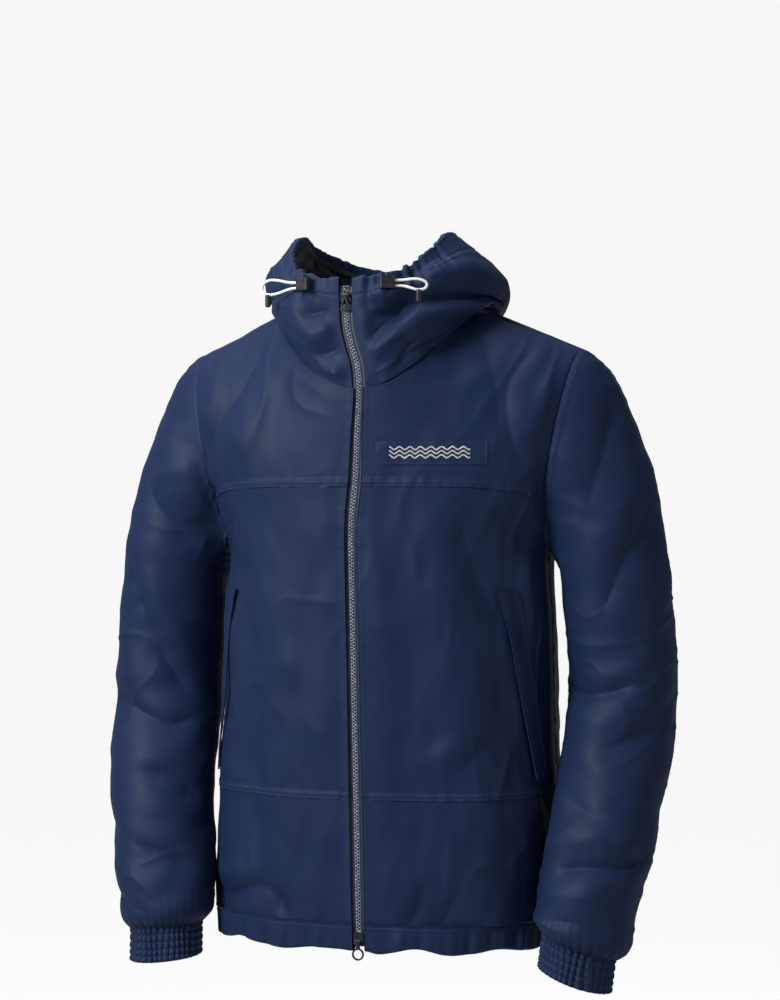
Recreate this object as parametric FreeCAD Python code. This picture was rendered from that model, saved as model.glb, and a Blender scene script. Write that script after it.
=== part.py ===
"""Hooded foul weather jacket, zipped up and held as it hangs on a wearer's shoulders.

Millimetres. +Z is up, the front faces -Y, and +X is the wearer's left. The origin is the
centre of the neck opening at the height where the shoulders meet the neck.
"""
import FreeCAD
import Part
import math
import os

Vec = FreeCAD.Vector

# ---- Body of the jacket ---------------------------------------------------------------
HEM_Z = -672.0                 # bottom edge of the hem
HEM_HEIGHT = 26.0              # height of the hem casing
LOWER_SEAM_Z = -518.0          # seam above the lower fronts and lower back
YOKE_SEAM_Z = -196.0           # yoke seam at the zip and at the spine
ARMPIT_Z = -245.0              # bottom of the armholes
CHEST_HALF_WIDTH = 178.0       # torso at the armpits
WAIST_HALF_WIDTH = 182.0       # torso half way down
HEM_HALF_WIDTH = 187.0         # torso at the hem
BACK_DEPTH = 128.0             # torso axis to the back panel
SHOULDER_LEVEL_Z = -200.0      # above this level the cloth curves in to the shoulders
RING_POWER = 2.3               # squareness of the torso's plan shape

# ---- Shoulders and neck ---------------------------------------------------------------
NECK_HALF_WIDTH = 105.0        # half width of the neck seam
NECK_SIDE_Z = -6.0             # neck seam beside the neck
NECK_FRONT_Z = -94.0           # neck seam at the zip
NECK_BACK_Y = 74.0             # neck seam at the nape
SHOULDER_SLOPE = 0.42          # fall of the shoulder line
SHOULDER_POINT_X = 213.0       # top of the armhole
SHOULDER_SEAM_Y = 8.0          # shoulder seam, front to back
ARMPIT_X = 178.0               # bottom of the armhole

# ---- Zip --------------------------------------------------------------------------------
ZIP_BOTTOM = Vec(5.0, -135.0, -668.0)
ZIP_TOP = Vec(-14.5, -118.0, 12.0)
FABRIC_EDGE = 6.5              # fabric edge from the zip's centre line
TAPE_HALF_WIDTH = 15.0
TAPE_THICKNESS = 0.8
TOOTH_PITCH = 3.4
TOOTH_HEIGHT = 1.4
CHAIN_HALF_WIDTH = 2.85
CHAIN_THICKNESS = 2.6
BEAD_WIDTH = 1.1               # moulded edge that the teeth stand on
CHAIN_DEPTH = 3.2              # centre of the chain behind the fabric's outer face
DIVIDER_THICKNESS = 0.5        # web of the slider that parts the chains
SLIDER_CLEARANCE = 0.25
SLIDER_LENGTH = 12.0
SLIDER_HALF_WIDTH = 5.2
SLIDER_PLATE = 1.5
PIN_RADIUS = 0.8
PIN_CLEARANCE = 0.06
PIN_STAND_OFF = 2.2            # pin centre in front of the slider's face
TOP_REST = 668.0               # top slider's centre along the zip
BOTTOM_REST = 8.0              # bottom slider's centre along the zip
PULLER_LENGTH = 15.0
PULLER_TOP_WIDTH = 4.4
PULLER_FOOT_WIDTH = 10.5
PULLER_THICKNESS = 1.6
RING_OUTER_RADIUS = 6.3
RING_HOLE_RADIUS = 4.6
RING_DROP = 13.5               # ring centre below the pin
PIN_END_LENGTH = 14.0          # plain moulded ends below the lowest teeth

# ---- Cloth ------------------------------------------------------------------------------
CLOTH = 1.5                    # shell and lining together
SEAM_GAP = 0.8                 # space left between neighbouring panels
LINING = 1.0

# ---- Sleeves ----------------------------------------------------------------------------
SLEEVE_GAP = 3.0               # sleeve head to the armhole at the shoulder
ARMPIT_GAP = 7.0
ELBOW_Z = -415.0
CUFF_TOP_Z = -664.0
CUFF_BOTTOM_Z = -697.0
UPPER_ARM_Z = -300.0
SLEEVE_WIDTH_RADIUS = 58.0
SLEEVE_DEPTH_RADIUS = 62.0
CUFF_WIDTH_RADIUS = 36.0
CUFF_DEPTH_RADIUS = 38.0
CUFF_WALL = 1.2
ELASTIC_THICKNESS = 1.2

# ---- Collar and hood ----------------------------------------------------------------------
RIM_FRONT_RISE = 112.0         # rim above the neck seam at the zip
CASING_HEIGHT = 13.0
CASING_WIDTH = 7.0
CASING_WALL = 1.2
CORD_RADIUS = 1.4
COLLAR_SPAN = 52.0             # collar half, degrees round the neck from the zip
HOOD_SPAN = 128.0              # end of the hood's side panel, degrees from the zip

# ---- Cord locks -----------------------------------------------------------------------------
LOCK_ANGLE = 24.0              # degrees round the neck from the zip
LOCK_WIDTH = 16.0
LOCK_HEIGHT = 13.0
LOCK_DEPTH = 8.0
LOCK_BORE = 3.05
PLUNGER_RADIUS = 3.0
PLUNGER_TRAVEL = 2.5
SPRING_HEIGHT = 6.0
SPRING_WIRE = 0.45
SPRING_TURNS = 4
SPRING_RADIUS = 2.2
LOCK_BASE = 1.6

# ---- Pockets --------------------------------------------------------------------------------
POCKET_TOP_Z = -304.0
POCKET_BOTTOM_Z = -500.0
POCKET_TOP_ANGLE = 55.0        # degrees round the torso from the zip
POCKET_BOTTOM_ANGLE = 72.0
WELT_WIDTH = 27.0
WELT_THICKNESS = 1.6
WELT_STAND_OFF = 1.2
MOUTH_WIDTH = 12.0
BAG_DEPTH = 12.0
BAG_REACH = 92.0               # bag forward of the mouth's centre

# ---- Chest patch ----------------------------------------------------------------------------
PATCH_WIDTH = 116.0
PATCH_HEIGHT = 25.0
PATCH_CENTRE_X = 78.0
PATCH_CENTRE_Z = -161.0


# ==== Small helpers ==========================================================================
def mix(a, b, t):
    """Value or vector a fraction t of the way from a to b."""
    return a * (1.0 - t) + b * t


def smooth(stations, x):
    """Smooth curve through hand-set (place, value) stations."""
    if x <= stations[0][0]:
        return stations[0][1]
    if x >= stations[-1][0]:
        return stations[-1][1]
    k = next(i for i in range(len(stations) - 1) if stations[i + 1][0] >= x)
    x0, y0 = stations[k]
    x1, y1 = stations[k + 1]
    span = x1 - x0

    def slope(i):
        """Slope at station i, from its neighbours."""
        low = max(i - 1, 0)
        high = min(i + 1, len(stations) - 1)
        return (stations[high][1] - stations[low][1]) * (1.0 / (stations[high][0] - stations[low][0]))

    t = (x - x0) / span
    h00 = 2 * t ** 3 - 3 * t ** 2 + 1
    h10 = t ** 3 - 2 * t ** 2 + t
    h01 = 3 * t ** 2 - 2 * t ** 3
    h11 = t ** 3 - t ** 2
    return y0 * h00 + slope(k) * (h10 * span) + y1 * h01 + slope(k + 1) * (h11 * span)


def interpolated_surface(rows):
    """Smooth surface through a grid of points."""
    surface = Part.BSplineSurface()
    surface.interpolate(rows)
    return surface


def closed_solid(faces):
    """Solid from faces that share their edges."""
    shell = Part.makeShell(faces)
    shell.sewShape()
    solid = Part.makeSolid(shell)
    if solid.Volume < 0:
        solid.reverse()
    return solid


def surface_normal(place, u, v, u_range, v_range):
    """Unit normal of place(u, v), from small steps that stay inside the panel."""
    step_u = abs(u_range[1] - u_range[0]) * 1e-3
    step_v = abs(v_range[1] - v_range[0]) * 1e-3
    along_u = place(min(u + step_u, max(u_range)), v) - place(max(u - step_u, min(u_range)), v)
    along_v = place(u, min(v + step_v, max(v_range))) - place(u, max(v - step_v, min(v_range)))
    normal = along_u.cross(along_v)
    normal.normalize()
    return normal


def panel(place, u_range, v_range, counts, outer=0.0, thickness=CLOTH, inner_side=Vec(0, 0, -330)):
    """Cloth panel: place(u, v) gives its outer face, thickened towards the inside.

    outer sinks the whole panel below that face. inner_side is a point that the panel's middle
    has on its inner side, or a function that gives one for the middle.
    """
    middle = (sum(u_range) / 2, sum(v_range) / 2)
    centre = place(*middle)
    target = inner_side(centre) if callable(inner_side) else inner_side
    facing = surface_normal(place, middle[0], middle[1], u_range, v_range).dot(target - centre)
    sign = 1.0 if facing > 0 else -1.0
    tops = []
    bases = []
    for i in range(counts[0] + 1):
        u = mix(u_range[0], u_range[1], i / counts[0])
        top_row = []
        base_row = []
        for j in range(counts[1] + 1):
            v = mix(v_range[0], v_range[1], j / counts[1])
            inward = surface_normal(place, u, v, u_range, v_range) * sign
            top_row.append(place(u, v) + inward * outer)
            base_row.append(place(u, v) + inward * (outer + thickness))
        tops.append(top_row)
        bases.append(base_row)
    top = interpolated_surface(tops)
    base = interpolated_surface(bases)
    faces = [top.toShape(), base.toShape()]
    a0, a1, b0, b1 = top.bounds()
    c0, c1, d0, d1 = base.bounds()
    borders = ((top.uIso(a0), base.uIso(c0)), (top.uIso(a1), base.uIso(c1)),
               (top.vIso(b0), base.vIso(d0)), (top.vIso(b1), base.vIso(d1)))
    for upper, lower in borders:
        faces.append(Part.makeRuledSurface(upper.toShape(), lower.toShape(), 1))
    return closed_solid(faces)


def strip(corner_paths):
    """Solid whose long edges follow the given paths, in order round its section."""
    edges = []
    for path in corner_paths:
        curve = Part.BSplineCurve()
        curve.interpolate(path)
        edges.append(curve.toShape())
    faces = []
    for k in range(len(edges)):
        faces.append(Part.makeRuledSurface(edges[k], edges[(k + 1) % len(edges)]))
    for end in (0, -1):
        outline = [path[end] for path in corner_paths]
        faces.append(Part.Face(Part.makePolygon(outline + [outline[0]])))
    return closed_solid(faces)


def box(x_range, y_range, z_range):
    """Box between the given limits."""
    low = Vec(x_range[0], y_range[0], z_range[0])
    return Part.makeBox(x_range[1] - x_range[0], y_range[1] - y_range[0], z_range[1] - z_range[0], low)


def save(name, *solids):
    """Write one node, a single solid or a group of them."""
    shape = solids[0] if len(solids) == 1 else Part.makeCompound(list(solids))
    shape.exportStep("parts/%s.step" % name)
    state = "ok" if shape.isValid() else "INVALID"
    print("%-24s %s %10.1f mm3 %d solid(s)" % (name, state, shape.Volume, len(shape.Solids)))


# ==== The worn shape =========================================================================
def zip_point(z):
    """Point on the zip's straight centre line at height z, on the cloth's outer face."""
    return mix(ZIP_BOTTOM, ZIP_TOP, (z - ZIP_BOTTOM.z) / (ZIP_TOP.z - ZIP_BOTTOM.z))


def shoulder_line_z(x):
    """Height of the shoulder line, rounded over inside the neck."""
    if abs(x) >= NECK_HALF_WIDTH:
        return NECK_SIDE_Z - SHOULDER_SLOPE * (abs(x) - NECK_HALF_WIDTH)
    return NECK_SIDE_Z + SHOULDER_SLOPE * (NECK_HALF_WIDTH ** 2 - x * x) / (2 * NECK_HALF_WIDTH)


def armhole_x(z):
    """Half width of the armhole's plane at height z."""
    top_z = shoulder_line_z(SHOULDER_POINT_X)
    return mix(ARMPIT_X, SHOULDER_POINT_X, (z - ARMPIT_Z) / (top_z - ARMPIT_Z))


def half_width(z):
    """Half width of the torso, which runs on into the sleeves above the armpits."""
    return smooth([(HEM_Z, HEM_HALF_WIDTH), (-600.0, HEM_HALF_WIDTH + 2.0), (-450.0, WAIST_HALF_WIDTH),
                   (-340.0, mix(WAIST_HALF_WIDTH, CHEST_HALF_WIDTH, 0.7)), (ARMPIT_Z, CHEST_HALF_WIDTH),
                   (-150.0, 1.22 * CHEST_HALF_WIDTH), (-52.0, 1.38 * CHEST_HALF_WIDTH)], z)


def ring(x, z):
    """Share of the full depth that the torso has at x, from 1 at the centre to 0 at the side."""
    share = min(abs(x) / half_width(z), 1.0)
    return (1.0 - share ** RING_POWER) ** (1.0 / RING_POWER)


def shoulder_share(x, z):
    """Share of the depth that is left as the cloth curves in to the shoulder line."""
    if z <= SHOULDER_LEVEL_Z:
        return 1.0
    rise = (z - SHOULDER_LEVEL_Z) / (shoulder_line_z(x) - SHOULDER_LEVEL_Z)
    return math.sqrt(max(1.0 - rise * rise, 0.0))


def front_y(x, z):
    """Outer face of the fronts, which follow the straight zip at their centre."""
    near_zip = (1.0 - min(abs(x) / NECK_HALF_WIDTH, 1.0) ** 2) ** 2
    share = shoulder_share(x, z) / mix(1.0, shoulder_share(0.0, z), near_zip)
    seam = SHOULDER_SEAM_Y * (1.0 - share)
    return seam + zip_point(z).y * ring(x, z) * share


def back_y(x, z):
    """Outer face of the back."""
    share = shoulder_share(x, z)
    return SHOULDER_SEAM_Y * (1.0 - share) + BACK_DEPTH * ring(x, z) * share


def yoke_z(s):
    """Height of the yoke seam, s from 0 at the centre to 1 at the armpit."""
    return mix(YOKE_SEAM_Z, ARMPIT_Z, s ** 4)


def ring_x(s, z):
    """Half width reached a share s of the way round from the centre to the side."""
    return half_width(z) * math.sin(s * math.pi / 2) ** (2.0 / RING_POWER)


def lean(x, z):
    """Sideways shift of the cloth beside the leaning zip, none at the side seams."""
    share = min(abs(x) / half_width(z), 1.0)
    return zip_point(z).x * (1.0 - share ** 2)


def body_place(side, face_y, low_z, high_z):
    """Outer face of a body panel: s round the torso, t from its lower to its upper seam."""
    def place(s, t):
        z = mix(low_z(s), high_z(s), t)
        x = ring_x(abs(s), z)
        sway = lean(x, z) if face_y is front_y else 0.0
        return Vec(math.copysign(x, side * s) + sway, face_y(x, z), z)
    return place


NECK_SHARE = 0.48              # share of a yoke's top edge that belongs to the neck seam


def neck_front_z(x):
    """Height of the front neck seam."""
    share = min(abs(x) / NECK_HALF_WIDTH, 1.0)
    return NECK_SIDE_Z + (NECK_FRONT_Z - NECK_SIDE_Z) * (1.0 - share ** 2) ** 0.9


def neck_back_z(x):
    """Height of the back neck seam, where the back yoke reaches the seam's plan curve."""
    across = min(abs(x) / NECK_HALF_WIDTH, 1.0)
    y = mix(SHOULDER_SEAM_Y, NECK_BACK_Y, math.sqrt(1.0 - across ** 2))
    share = (y - SHOULDER_SEAM_Y) / (BACK_DEPTH * ring(x, 0.0) - SHOULDER_SEAM_Y)
    return mix(SHOULDER_LEVEL_Z, shoulder_line_z(x), math.sqrt(1.0 - share ** 2))


def yoke_place(side, face_y, neck_z):
    """Outer face of a yoke: s from the centre to the armhole, t from the seam to the top."""
    def place(s, t):
        size = abs(s)
        low_z = yoke_z(size) + SEAM_GAP
        low_x = ring_x(size, low_z)
        if size <= NECK_SHARE:
            high_x = NECK_HALF_WIDTH * math.sin(size / NECK_SHARE * math.pi / 2)
            high_z = neck_z(high_x)
        else:
            high_x = mix(NECK_HALF_WIDTH, SHOULDER_POINT_X, (size - NECK_SHARE) / (1.0 - NECK_SHARE))
            high_z = shoulder_line_z(high_x)
        rise = math.sin(t * math.pi / 2)
        z = mix(low_z, high_z, rise)
        x = mix(low_x, high_x, rise)
        sway = lean(x, z) if face_y is front_y else 0.0
        return Vec(math.copysign(x, side * s) + sway, face_y(x, z), z)
    return place


# ==== Body panels ============================================================================
def body_panels():
    """Fronts, lower fronts, yokes and the back."""
    edge = FABRIC_EDGE / CHEST_HALF_WIDTH
    first_s = edge ** (RING_POWER / 2) * 2 / math.pi
    neck_s = math.asin(FABRIC_EDGE / NECK_HALF_WIDTH) * 2 / math.pi * NECK_SHARE
    last_s = 0.9985
    for side, word in ((1, "left"), (-1, "right")):
        yoke = yoke_place(side, front_y, neck_front_z)
        save("front_yoke_" + word, panel(yoke, (max(first_s, neck_s), 0.99), (0.004, 0.975), (20, 12)))
        upper = body_place(side, front_y, lambda s: LOWER_SEAM_Z + SEAM_GAP / 2, lambda s: yoke_z(s) - SEAM_GAP)
        front = panel(upper, (first_s, last_s), (0.0, 1.0), (14, 14))
        front = front.cut(pocket_slot(side))
        save("front_panel_" + word, front)
        lower = body_place(side, front_y, lambda s: HEM_Z + HEM_HEIGHT + SEAM_GAP / 2,
                           lambda s: LOWER_SEAM_Z - SEAM_GAP / 2)
        save("lower_front_" + word, panel(lower, (first_s, last_s), (0.0, 1.0), (14, 6)))
    back_yoke = yoke_place(1, back_y, neck_back_z)
    save("back_yoke", panel(back_yoke, (-0.99, 0.99), (0.004, 0.975), (40, 12)))
    back = body_place(1, back_y, lambda s: LOWER_SEAM_Z + SEAM_GAP / 2, lambda s: yoke_z(abs(s)) - SEAM_GAP)
    save("back_panel", panel(back, (-last_s, last_s), (0.0, 1.0), (28, 14)))
    lower_back = body_place(1, back_y, lambda s: HEM_Z + HEM_HEIGHT + SEAM_GAP / 2,
                            lambda s: LOWER_SEAM_Z - SEAM_GAP / 2)
    save("lower_back", panel(lower_back, (-last_s, last_s), (0.0, 1.0), (28, 6)))


def hem_ring(inset, z, count=48):
    """Points once round the hem from one side of the zip to the other, inset from the outer face."""
    start = FABRIC_EDGE + 0.5
    points = []
    for k in range(count + 1):
        angle = mix(0.0, 2 * math.pi, k / count)
        x = (half_width(z) - inset) * math.copysign(abs(math.sin(angle)) ** (2 / RING_POWER), math.sin(angle))
        depth = abs(math.cos(angle)) ** (2 / RING_POWER)
        if math.cos(angle) >= 0:
            y = (zip_point(z).y + inset) * depth
        else:
            y = (BACK_DEPTH - inset) * depth
        sway = lean(x, z) if math.cos(angle) >= 0 else 0.0
        if k in (0, count):
            x = start if k == 0 else -start
        points.append(Vec(x + sway, y, z))
    return points


def hem():
    """Hem casing, folded up inside and open at its sewn top edge, and the elastic within it."""
    wall = CLOTH
    room = 6.0
    top = HEM_Z + HEM_HEIGHT - SEAM_GAP / 2
    fold = HEM_Z + wall
    section = [(0.0, HEM_Z), (0.0, top), (wall, top), (wall, fold),
               (wall + room, fold), (wall + room, top), (2 * wall + room, top), (2 * wall + room, HEM_Z)]
    save("hem_casing", strip([hem_ring(inset, z) for inset, z in section]))
    middle = wall + room / 2
    low = fold + 3.0
    elastic = [(middle - 0.8, low), (middle - 0.8, low + 12.0), (middle + 0.8, low + 12.0), (middle + 0.8, low)]
    save("hem_elastic", strip([hem_ring(inset, z) for inset, z in elastic]))


# ==== Pockets ================================================================================
def pocket_angle(t, offset):
    """Degrees round the torso from the zip, t down the pocket's mouth and offset millimetres behind it."""
    degree = math.radians(1.0) * (WAIST_HALF_WIDTH + BACK_DEPTH) / 2
    return mix(POCKET_TOP_ANGLE, POCKET_BOTTOM_ANGLE, t) + offset / degree


def pocket_place(side):
    """Outer face of the front beside a pocket: offset across the mouth and t down it."""
    def place(offset, t):
        z = mix(POCKET_TOP_Z, POCKET_BOTTOM_Z, t)
        x = half_width(z) * math.sin(math.radians(pocket_angle(t, offset))) ** (2 / RING_POWER)
        return Vec(side * x + lean(x, z), front_y(x, z), z)
    return place


def pocket_slot(side):
    """Block that cuts the pocket's mouth in the front."""
    half = MOUTH_WIDTH / 2
    return panel(pocket_place(side), (-half, half), (0.06, 0.94), (4, 10), outer=-6.0, thickness=14.0)


def pockets():
    """Welt that covers each pocket mouth and the bag behind it."""
    half = WELT_WIDTH / 2
    for side, word in ((1, "left"), (-1, "right")):
        place = pocket_place(side)
        save("pocket_welt_" + word, panel(place, (-half, half), (0.0, 1.0), (6, 12),
                                          outer=-WELT_STAND_OFF - WELT_THICKNESS, thickness=WELT_THICKNESS))
        mouth = MOUTH_WIDTH / 2 + 4.0
        depth = CLOTH + 0.6
        outside = panel(place, (-BAG_REACH, mouth), (0.0, 1.0), (12, 12), outer=depth, thickness=BAG_DEPTH)
        inside = panel(place, (2.0 - BAG_REACH, mouth - 2.0), (0.015, 0.985), (12, 12), outer=depth - 1.0,
                       thickness=BAG_DEPTH - 0.6)
        save("pocket_bag_" + word, outside.cut(inside))


# ==== Zip ====================================================================================
def zip_axes():
    """Directions of the zip: across, inward and up along it."""
    up = ZIP_TOP - ZIP_BOTTOM
    up.normalize()
    across = Vec(1, 0, 0)
    across = across - up * across.dot(up)
    across.normalize()
    return across, up.cross(across), up


def zip_placed(shape):
    """Move a shape from the zip's own frame (X across, Y inward, Z up from its bottom) to its place."""
    across, inward, up = zip_axes()
    matrix = FreeCAD.Matrix(across.x, inward.x, up.x, ZIP_BOTTOM.x, across.y, inward.y, up.y, ZIP_BOTTOM.y,
                            across.z, inward.z, up.z, ZIP_BOTTOM.z, 0, 0, 0, 1)
    moved = shape.copy()
    moved.Placement = FreeCAD.Placement(matrix).multiply(moved.Placement)
    return moved


def zip_length():
    """Length of the chain from its bottom to the top of the collar."""
    return (ZIP_TOP - ZIP_BOTTOM).Length


def tooth_chain(side):
    """One side's moulded chain: a bead with evenly spaced teeth, in the zip's own frame."""
    inner = DIVIDER_THICKNESS / 2 + SLIDER_CLEARANCE
    bead = CHAIN_HALF_WIDTH - BEAD_WIDTH
    depth = CHAIN_DEPTH - CHAIN_THICKNESS / 2
    start = PIN_END_LENGTH + 0.4
    end = zip_length() - 2.0
    outline = [Vec(CHAIN_HALF_WIDTH, depth, end), Vec(CHAIN_HALF_WIDTH, depth, start), Vec(bead, depth, start)]
    offset = 0.4 if side > 0 else 0.4 + TOOTH_PITCH / 2
    z = start + offset
    while z + TOOTH_HEIGHT < end:
        outline.append(Vec(bead, depth, z))
        outline.append(Vec(inner, depth, z + 0.15))
        outline.append(Vec(inner, depth, z + TOOTH_HEIGHT - 0.15))
        outline.append(Vec(bead, depth, z + TOOTH_HEIGHT))
        z += TOOTH_PITCH
    outline.append(Vec(bead, depth, end))
    if side < 0:
        outline = [Vec(-p.x, p.y, p.z) for p in outline]
    return Part.Face(Part.makePolygon(outline + [outline[0]])).extrude(Vec(0, CHAIN_THICKNESS, 0))


def slider(upward):
    """Slider body in its own frame, centred on the zip; upward is 1 for the top slider and -1 below."""
    half = SLIDER_LENGTH / 2
    chain_near = CHAIN_DEPTH - CHAIN_THICKNESS / 2 - SLIDER_CLEARANCE
    chain_far = CHAIN_DEPTH + CHAIN_THICKNESS / 2 + SLIDER_CLEARANCE
    face_y = chain_near - SLIDER_PLATE
    wide = SLIDER_HALF_WIDTH
    front = box((-wide, wide), (face_y, chain_near), (-half, half))
    back = box((-wide, wide), (chain_far, chain_far + SLIDER_PLATE), (-half, half))
    web = box((-DIVIDER_THICKNESS / 2, DIVIDER_THICKNESS / 2), (chain_near, chain_far), (-half, half))
    body = front.fuse([back, web])
    upright = [edge for edge in body.Edges if abs(edge.tangentAt(edge.FirstParameter).y) > 0.99
               and abs(abs(edge.Vertexes[0].X) - wide) < 0.01]
    body = body.makeFillet(2.0, upright)
    flange_x = CHAIN_HALF_WIDTH + SLIDER_CLEARANCE
    tape_near = CHAIN_DEPTH - TAPE_THICKNESS / 2 - SLIDER_CLEARANCE
    tape_far = CHAIN_DEPTH + TAPE_THICKNESS / 2 + SLIDER_CLEARANCE
    for side in (-1, 1):
        span = sorted((side * flange_x, side * wide))
        body = body.fuse(box(span, (chain_near - 0.2, tape_near), (-half + 2, half - 2)))
        body = body.fuse(box(span, (tape_far, chain_far + 0.2), (-half + 2, half - 2)))
    pin_y = face_y - PIN_STAND_OFF
    pin_z = upward * 2.2
    lug_in = PULLER_TOP_WIDTH / 2 + 0.15
    lug_out = lug_in + 1.0
    for side in (-1, 1):
        span = sorted((side * lug_in, side * lug_out))
        lug = box(span, (pin_y, face_y + 0.3), (pin_z - 1.6, pin_z + 1.6))
        lug = lug.fuse(Part.makeCylinder(1.6, 1.0, Vec(span[0], pin_y, pin_z), Vec(1, 0, 0)))
        body = body.fuse(lug)
    pin = Part.makeCylinder(PIN_RADIUS, 2 * lug_in + 0.4, Vec(-lug_in - 0.2, pin_y, pin_z), Vec(1, 0, 0))
    return body.fuse(pin).removeSplitter(), pin_y, pin_z


def puller_eye():
    """Eye round the slider's pin, at the origin, with its hole along X."""
    half = PULLER_TOP_WIDTH / 2
    eye = Part.makeCylinder(1.55, PULLER_TOP_WIDTH, Vec(-half, 0, 0), Vec(1, 0, 0))
    neck = box((-half, half), (-PULLER_THICKNESS / 2, PULLER_THICKNESS / 2), (-3.2, 0))
    return eye.fuse(neck)


def eye_hole():
    """Running hole for the slider's pin."""
    reach = PULLER_TOP_WIDTH
    return Part.makeCylinder(PIN_RADIUS + PIN_CLEARANCE, 2 * reach, Vec(-reach, 0, 0), Vec(1, 0, 0))


def slotted_puller():
    """Tapered puller with a long window, hanging from the pin."""
    low = -PULLER_LENGTH
    top = PULLER_TOP_WIDTH / 2
    foot = PULLER_FOOT_WIDTH / 2
    skin = -PULLER_THICKNESS / 2
    outline = [Vec(-top, skin, -2.4), Vec(top, skin, -2.4), Vec(foot, skin, low), Vec(-foot, skin, low)]
    plate = Part.Face(Part.makePolygon(outline + [outline[0]])).extrude(Vec(0, PULLER_THICKNESS, 0))
    window = [Vec(-0.9, skin - 1, -4.6), Vec(0.9, skin - 1, -4.6), Vec(2.9, skin - 1, low + 2.6),
              Vec(-2.9, skin - 1, low + 2.6)]
    opening = Part.Face(Part.makePolygon(window + [window[0]])).extrude(Vec(0, PULLER_THICKNESS + 2, 0))
    return puller_eye().fuse(plate).cut(opening).cut(eye_hole()).removeSplitter()


def ring_puller():
    """Round ring on a short neck, hanging from the pin."""
    thick = PULLER_THICKNESS
    centre = Vec(0, -thick / 2, -RING_DROP)
    ring_body = Part.makeCylinder(RING_OUTER_RADIUS, thick, centre, Vec(0, 1, 0))
    neck_width = PULLER_TOP_WIDTH / 2
    neck = box((-neck_width, neck_width), (-thick / 2, thick / 2), (-RING_DROP + RING_HOLE_RADIUS, -2.0))
    hole = Part.makeCylinder(RING_HOLE_RADIUS, thick + 2, centre - Vec(0, 1, 0), Vec(0, 1, 0))
    return puller_eye().fuse([ring_body, neck]).cut(hole).cut(eye_hole()).removeSplitter()


def closure():
    """Tapes, tooth chains, stops, pins, sliders, pullers and the storm flap behind them."""
    length = zip_length()
    near = CHAIN_DEPTH - TAPE_THICKNESS / 2
    for side, word in ((1, "left"), (-1, "right")):
        span = sorted((side * (CHAIN_HALF_WIDTH + 0.1), side * TAPE_HALF_WIDTH))
        save("zip_tape_" + word, zip_placed(box(span, (near, near + TAPE_THICKNESS), (0, length))))
        save("zip_teeth_" + word, zip_placed(tooth_chain(side)))
    depth = (CHAIN_DEPTH - CHAIN_THICKNESS / 2, CHAIN_DEPTH + CHAIN_THICKNESS / 2)
    stops = [zip_placed(box(sorted((s * 0.5, s * CHAIN_HALF_WIDTH)), depth, (length - 1.6, length)))
             for s in (-1, 1)]
    save("zip_top_stops", *stops)
    pins = [zip_placed(box(sorted((s * 0.6, s * CHAIN_HALF_WIDTH)), depth, (0, PIN_END_LENGTH)))
            for s in (-1, 1)]
    save("zip_bottom_pins", *pins)
    for name, rest, upward, hanging in (("top", TOP_REST, 1, slotted_puller()),
                                        ("bottom", BOTTOM_REST, -1, ring_puller())):
        body, pin_y, pin_z = slider(upward)
        body.translate(Vec(0, 0, rest))
        hanging.translate(Vec(0, pin_y, rest + pin_z))
        save(name + "_slider", zip_placed(body))
        save(name + "_puller", zip_placed(hanging))
    save("storm_flap", zip_placed(box((-22, 26), (8.2, 9.2), (HEM_HEIGHT + 8, length - 18))))


# ==== Collar and hood ========================================================================
def neck_point(turn):
    """Point on the neck seam; turn is degrees round the neck from the zip, positive to +X."""
    angle = math.radians(turn)
    x = NECK_HALF_WIDTH * math.sin(angle)
    if math.cos(angle) >= 0:
        z = neck_front_z(x)
        shift = zip_point(z).x * math.cos(angle) ** 2
        return Vec(x + shift, front_y(abs(x), z), z)
    z = neck_back_z(x)
    return Vec(x, back_y(abs(x), z), z)


# Profiles of the collar and hood: outward and upward from the neck seam, at turns round the neck.
PROFILES = {
    0.0: [(0.0, 2.0), (-0.6, 28.0), (-1.2, 56.0), (-1.9, 84.0), (-2.4, RIM_FRONT_RISE)],
    40.0: [(3.0, 2.5), (11.0, 26.0), (13.0, 52.0), (6.0, 74.0), (-4.0, 95.0)],
    90.0: [(2.0, 4.0), (17.0, 5.0), (24.0, 16.0), (10.0, 50.0), (-20.0, 80.0)],
    135.0: [(3.0, 4.0), (24.0, -7.0), (44.0, 2.0), (35.0, 45.0), (-4.0, 72.0)],
    180.0: [(4.0, 2.0), (34.0, -34.0), (62.0, -46.0), (66.0, 18.0), (16.0, 62.0)],
}


def hood_point(turn, v):
    """Outer face of the collar and hood, v from 0 at the neck seam to 1 at the rim."""
    size = abs(turn)
    turns = sorted(PROFILES)
    around = [(-turns[1], turns[1])] + [(a, a) for a in turns] + [(360.0 - turns[-2], turns[-2])]
    offsets = []
    for k in range(5):
        out = smooth([(a, PROFILES[key][k][0]) for a, key in around], size)
        rise = smooth([(a, PROFILES[key][k][1]) for a, key in around], size)
        offsets.append((k / 4.0, Vec(out, 0, rise)))
    offset = smooth(offsets, v)
    angle = math.radians(turn)
    base = neck_point(turn)
    rim_lean = mix(0.0, ZIP_TOP.x - zip_point(NECK_FRONT_Z).x * max(math.cos(angle), 0.0) ** 2, v)
    return base + Vec(math.sin(angle) * offset.x + rim_lean, -math.cos(angle) * offset.x, offset.z)


def inside_neck(point):
    """A point on the inner side of the collar and hood, level with the given one."""
    return Vec(ZIP_TOP.x / 2, 0, point.z)


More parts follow.
